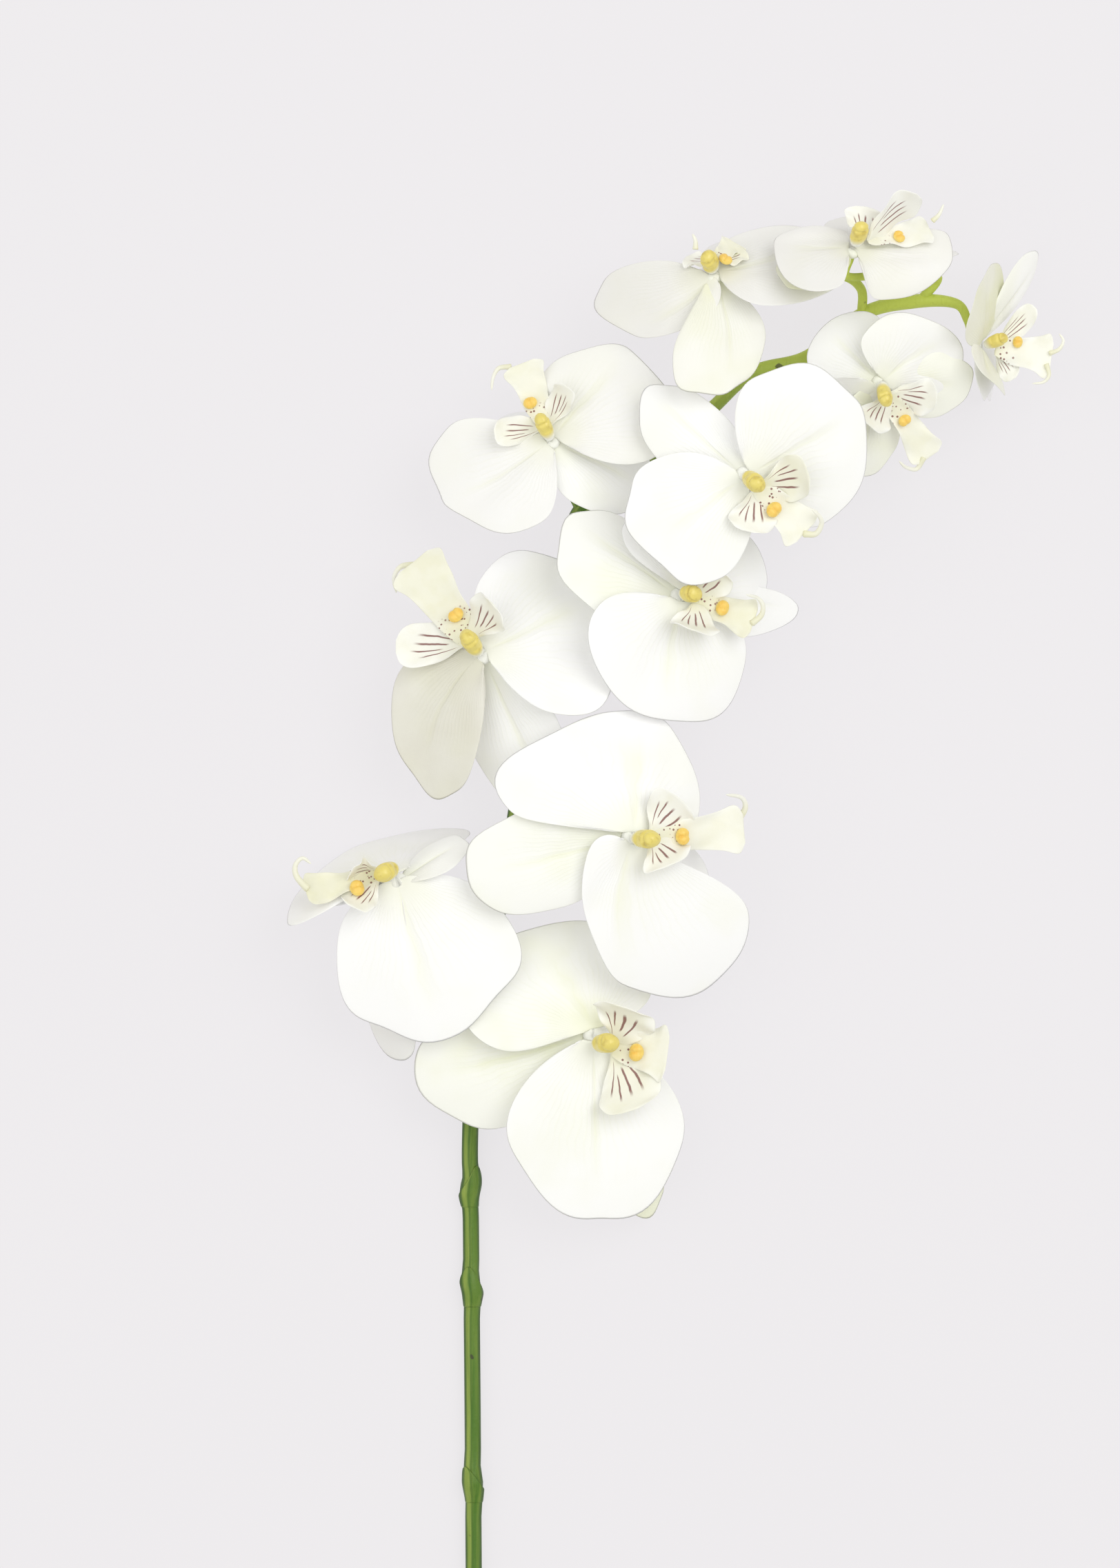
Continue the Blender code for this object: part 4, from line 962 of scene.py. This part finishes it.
def make_column(number, sizes, material):
    pose, lip, centre, size = bloom(number)
    rings, sides = COLUMN_GRID
    shares = np.linspace(0, 1, rings) ** 0.8
    line = centre + lip.foot + shares[:, None] * (np.array(lip.top) - lip.foot)
    radii = np.interp(shares, COLUMN_SHARES, COLUMN_RADII) * size * COLUMN_THIN
    points, faces, along, around = lathe(line, radii, sides, COLUMN_DEEP, lip_frame(pose, lip)[2])
    collar = bump(along, COLLAR_AT, COLLAR_WIDE) * COLLAR_DEEP
    furrow = bump(around, HOOD_TURN, HOOD_WIDE) * (along > HOOD_FROM) * HOOD_DEEP
    out = points - line[np.rint(along * (rings - 1)).astype(int)]
    shell = Shell()
    shell.add(points - out * (collar + furrow)[:, None], faces, u=around, v=along)
    keep(shell.piece(f"column_{number:02d}", material), f"bloom_{number:02d}_column")


def make_callus(number, sizes, material):
    pose, lip, _, size = bloom(number)
    tip, side, up = lip_frame(pose, lip)[1:]
    axes = [way * half * size for way, half in zip((unit(tip), side, up), CALLUS_HALVES)]
    middle = callus_seat(pose, lip)
    points, faces, turn, height = ball(middle, axes, *CALLUS_GRID)
    out = points - middle
    across = out @ side / (CALLUS_HALVES[1] * size)
    furrow = CALLUS_FURROW_DEEP * bump(across, 0.0, CALLUS_FURROW_WIDE) * (out @ up > 0)
    shell = Shell()
    shell.add(points - out * furrow[:, None], faces, u=turn, v=height)
    keep(shell.piece(f"callus_{number:02d}", material), f"bloom_{number:02d}_callus")


def stalk_lines(sizes):
    """Centre lines and radii of the stem and of every flower stalk."""
    rows = smooth(STALK, STEM_STEPS)
    rows = rows[rows[:, 1] > STALK[0][1] - 1.0]
    y = rows[:, 1]
    radii = rows[:, 3] * (1 + NODE_SWELL * sum(bump(y, node, NODE_LONG) for node in STEM_NODES))
    for node, hand in zip(STEM_NODES, NODE_HANDS):
        ahead, behind = (bump(y, node + step, NODE_STEP_LONG) for step in (NODE_STEP, -NODE_STEP))
        rows[:, 0] += hand * NODE_SHIFT * (ahead - behind)
    level = y < LEVEL_Y
    rows[level, 2] = radii[level] + CLEAR
    lines = [(rows[:, :3], radii)]
    for number, line in PEDICELS.items():
        pose, _, centre, size = bloom(number)
        back = -size * axes_of(*pose[1:5])[2]
        line = smooth([*line, centre + PEDICEL_TURN * back, centre + PEDICEL_END * back], CURVE_STEPS)
        lines.append((line, np.linspace(sizes.stalk_radius / MM, PEDICEL_TIP, len(line))))
    return lines


def sheath(line, radii, node, tip_turn, rise):
    """Sheet of a scale that clasps the stem at a node, its slanting rim rising to a point on one side."""
    turn = np.linspace(-math.pi / 2, 3 * math.pi / 2, SHEATH_GRID[1])[None, :]
    share = np.linspace(0, 1, SHEATH_GRID[0])[:, None]
    point = (0.5 + 0.5 * np.cos(turn - tip_turn)) ** SHEATH_SHARP
    low, high = node - SHEATH_FOOT, node + rise * ((1 + SHEATH_DIP) * point - SHEATH_DIP)
    y = low + share * (high - low)
    radius = np.interp(y, line[:, 1], radii) * (SHEATH_TIGHT + SHEATH_FLARE * share**0.6)
    x = np.interp(y, line[:, 1], line[:, 0]) + radius * np.cos(turn)
    z = np.interp(y, line[:, 1], line[:, 2]) + radius * np.sin(turn)
    return np.stack([x, y, np.maximum(z, SHEATH_FLOOR)], -1)


def make_stem(sizes, material):
    lines = stalk_lines(sizes)
    keep(sweep("stem_and_stalks", lines, material, STEM_SIDES), "stem")
    line, radii = lines[0]
    straight = line[:, 1] < STRAIGHT_Y
    shell = Shell()
    for node, turn, rise in zip(STEM_NODES, SHEATH_TURNS, SHEATH_RISES):
        sheet = sheath(line[straight], radii[straight], node, math.radians(turn), rise)
        shell.add(*leaf(sheet, np.full(sheet.shape[:2], sizes.sheath_thickness / MM)))
    keep(shell.piece("stem_sheaths", material))


def length(name, description, default, least):
    return bpy.props.FloatProperty(
        name=name, description=description, default=default, min=least, subtype="DISTANCE", unit="LENGTH"
    )


class OrchidSizes(bpy.types.PropertyGroup):
    petal_thickness: length("Petal thickness", "Thickness of a petal near its root", 0.0009, 0.0004)
    rim_thickness: length("Rim thickness", "Thickness at the edge of a petal or lip", 0.00025, 0.0001)
    petal_wave: length("Petal wave", "How far the rim of a petal rises and falls", 0.0015, 0.0)
    lip_thickness: length("Lip thickness", "Thickness of the lip near its root", 0.0012, 0.0004)
    lip_frill: length("Lip frill", "Height of the waves along the edge of a lip", 0.0014, 0.0)
    sheath_thickness: length("Sheath thickness", "Thickness of the scale at a node", 0.0004, 0.0001)
    stalk_radius: length("Flower stalk radius", "Radius of a flower stalk at the stem", 0.0017, 0.0005)


def shade(name, description, colour):
    return bpy.props.FloatVectorProperty(
        name=name, description=description, default=colour, size=3, min=0.0, max=1.0, subtype="COLOR"
    )


class OrchidColours(bpy.types.PropertyGroup):
    petal_white: shade("Petal", "Petal where it is pure", (0.95, 0.95, 0.955))
    # Also the colour of the painted green shade on tepals turned from the light.
    petal_green: shade("Petal flush", "Petal near its root and on shaded sides", (0.83, 0.85, 0.56))
    # Painted shade colour for tepals turned from the light.
    petal_shade: shade("Petal back", "Petal that is turned away from the light", (0.6, 0.57, 0.47))
    lip_cream: shade("Lip", "Pale part of the lip", (0.925, 0.925, 0.885))
    lip_green: shade("Lip flush", "Yellow-green part of the lip", (0.78, 0.765, 0.52))
    lip_mark: shade("Lip marks", "Stripes and dots of the lip", (0.22, 0.075, 0.07))
    column_gold: shade("Column", "Column and anther cap", (0.8, 0.67, 0.17))
    column_rust: shade("Column mottling", "Darker patches of the column", (0.5, 0.36, 0.05))
    callus_orange: shade("Callus", "Top of the callus", (0.9, 0.5, 0.06))
    callus_yellow: shade("Callus foot", "Foot of the callus", (0.95, 0.74, 0.2))
    stem_green: shade("Stem", "Older part of the stem", (0.075, 0.17, 0.02))
    # Also the colour of the painted highlight along one side of the stem.
    stem_pale_and_highlight: shade("Stem streaks", "Pale streaks along the stem", (0.27, 0.36, 0.07))
    # Painted shade on the stem's flanks.
    stem_flank_shade: shade("Stem flank", "Darker side of the stem", (0.04, 0.09, 0.015))
    stem_young: shade("Young stem", "Stem and flower stalks among the blooms", (0.56, 0.65, 0.11))
    stem_scar: shade("Stem scars", "Small dark scars of the stem", (0.05, 0.045, 0.03))
    table: shade("Table", "Surface under the spray", (0.86, 0.84, 0.86))


def on_each_bloom(scene, make, finish):
    material = finish(scene.orchid_colours)
    for number in BLOOMS:
        make(number, scene.orchid_sizes, material)
    return {"FINISHED"}


class ORCHID_OT_tepals(bpy.types.Operator):
    """Petals and sepals of the eleven blooms"""

    bl_idname = "orchid.tepals"
    bl_label = "Petals and sepals"

    def execute(self, context):
        return on_each_bloom(context.scene, make_tepals, petal_finish)


class ORCHID_OT_lips(bpy.types.Operator):
    """Lips of the blooms with their tendrils"""

    bl_idname = "orchid.lips"
    bl_label = "Lips"

    def execute(self, context):
        return on_each_bloom(context.scene, make_lip, lip_finish)


class ORCHID_OT_columns(bpy.types.Operator):
    """Columns of the blooms with their anther caps"""

    bl_idname = "orchid.columns"
    bl_label = "Columns"

    def execute(self, context):
        return on_each_bloom(context.scene, make_column, column_finish)


class ORCHID_OT_calluses(bpy.types.Operator):
    """Two-lobed callus on each lip"""

    bl_idname = "orchid.calluses"
    bl_label = "Calluses"

    def execute(self, context):
        return on_each_bloom(context.scene, make_callus, callus_finish)


class ORCHID_OT_stem(bpy.types.Operator):
    """Stem with its nodes and their sheaths, and the flower stalks"""

    bl_idname = "orchid.stem"
    bl_label = "Stem"

    def execute(self, context):
        make_stem(context.scene.orchid_sizes, stem_finish(context.scene.orchid_colours))
        return {"FINISHED"}


class ORCHID_OT_stage(bpy.types.Operator):
    """Pale table, soft light and the camera that looks straight down"""

    bl_idname = "orchid.stage"
    bl_label = "Table, light and camera"

    def execute(self, context):
        bpy.ops.mesh.primitive_plane_add(size=TABLE_SIDE, location=(0, 0, 0))
        table = context.object
        table.name = "table"
        finish = Finish("table_pale", 0.9)
        tone = finish.noise(3.0, 2.0)
        pale = context.scene.orchid_colours.table
        colour = finish.mix(pale, tuple(TABLE_UNEVEN * c for c in pale), tone)
        finish.plug(finish.shader.inputs["Emission Color"], colour)
        finish.shader.inputs["Emission Strength"].default_value = TABLE_GLOW
        finish.finish(finish.mix((0.0, 0.0, 0.0), colour, TABLE_MATT))
        table.data.materials.append(finish.material)

        world = context.scene.world = bpy.data.worlds.new("Room")
        world.use_nodes = True
        backdrop = world.node_tree.nodes["Background"]
        backdrop.inputs["Color"].default_value = ROOM_COLOUR
        backdrop.inputs["Strength"].default_value = ROOM_STRENGTH
        for name, energy, size, spot, way in LAMPS:
            light = bpy.data.lights.new(name, "AREA")
            light.energy, light.size = energy, size
            lamp = bpy.data.objects.new(name, light)
            lamp.location = spot
            lamp.rotation_euler = way
            context.scene.collection.objects.link(lamp)

        lens = bpy.data.cameras.new("Camera")
        lens.sensor_fit, lens.sensor_width, lens.sensor_height = "VERTICAL", SENSOR, SENSOR
        lens.lens = SENSOR * VIEW_DISTANCE / VIEW_HEIGHT
        lens.clip_start, lens.clip_end = 0.05, 20.0
        camera = bpy.data.objects.new("Camera", lens)
        camera.location = (SHIFT[0] * MM, SHIFT[1] * MM, VIEW_DISTANCE + VIEW_PLANE)
        context.scene.collection.objects.link(camera)
        context.scene.camera = camera
        context.scene.view_settings.view_transform = "Standard"
        return {"FINISHED"}


class ORCHID_PT_panel(bpy.types.Panel):
    """Sizes, colours and pieces of the spray"""

    bl_label = "Moth orchid spray"
    bl_space_type = "VIEW_3D"
    bl_region_type = "UI"
    bl_category = "Orchid"

    def draw(self, context):
        scene = context.scene
        for title, group in (("Sizes", scene.orchid_sizes), ("Colours", scene.orchid_colours)):
            box = self.layout.box()
            box.label(text=title)
            for key in group.__annotations__:
                box.prop(group, key)
        for operator in OPERATORS:
            self.layout.operator(operator.bl_idname)


OPERATORS = (
    ORCHID_OT_tepals, ORCHID_OT_lips, ORCHID_OT_columns, ORCHID_OT_calluses, ORCHID_OT_stem,
    ORCHID_OT_stage,
)
CLASSES = (OrchidSizes, OrchidColours, *OPERATORS, ORCHID_PT_panel)


def register():
    for cls in CLASSES:
        bpy.utils.register_class(cls)
    bpy.types.Scene.orchid_sizes = bpy.props.PointerProperty(type=OrchidSizes)
    bpy.types.Scene.orchid_colours = bpy.props.PointerProperty(type=OrchidColours)


def unregister():
    del bpy.types.Scene.orchid_colours
    del bpy.types.Scene.orchid_sizes
    for cls in reversed(CLASSES):
        bpy.utils.unregister_class(cls)


def main():
    register()
    bpy.ops.orchid.tepals()
    bpy.ops.orchid.lips()
    bpy.ops.orchid.columns()
    bpy.ops.orchid.calluses()
    bpy.ops.orchid.stem()
    bpy.ops.orchid.stage()


if __name__ == "__main__":
    main()
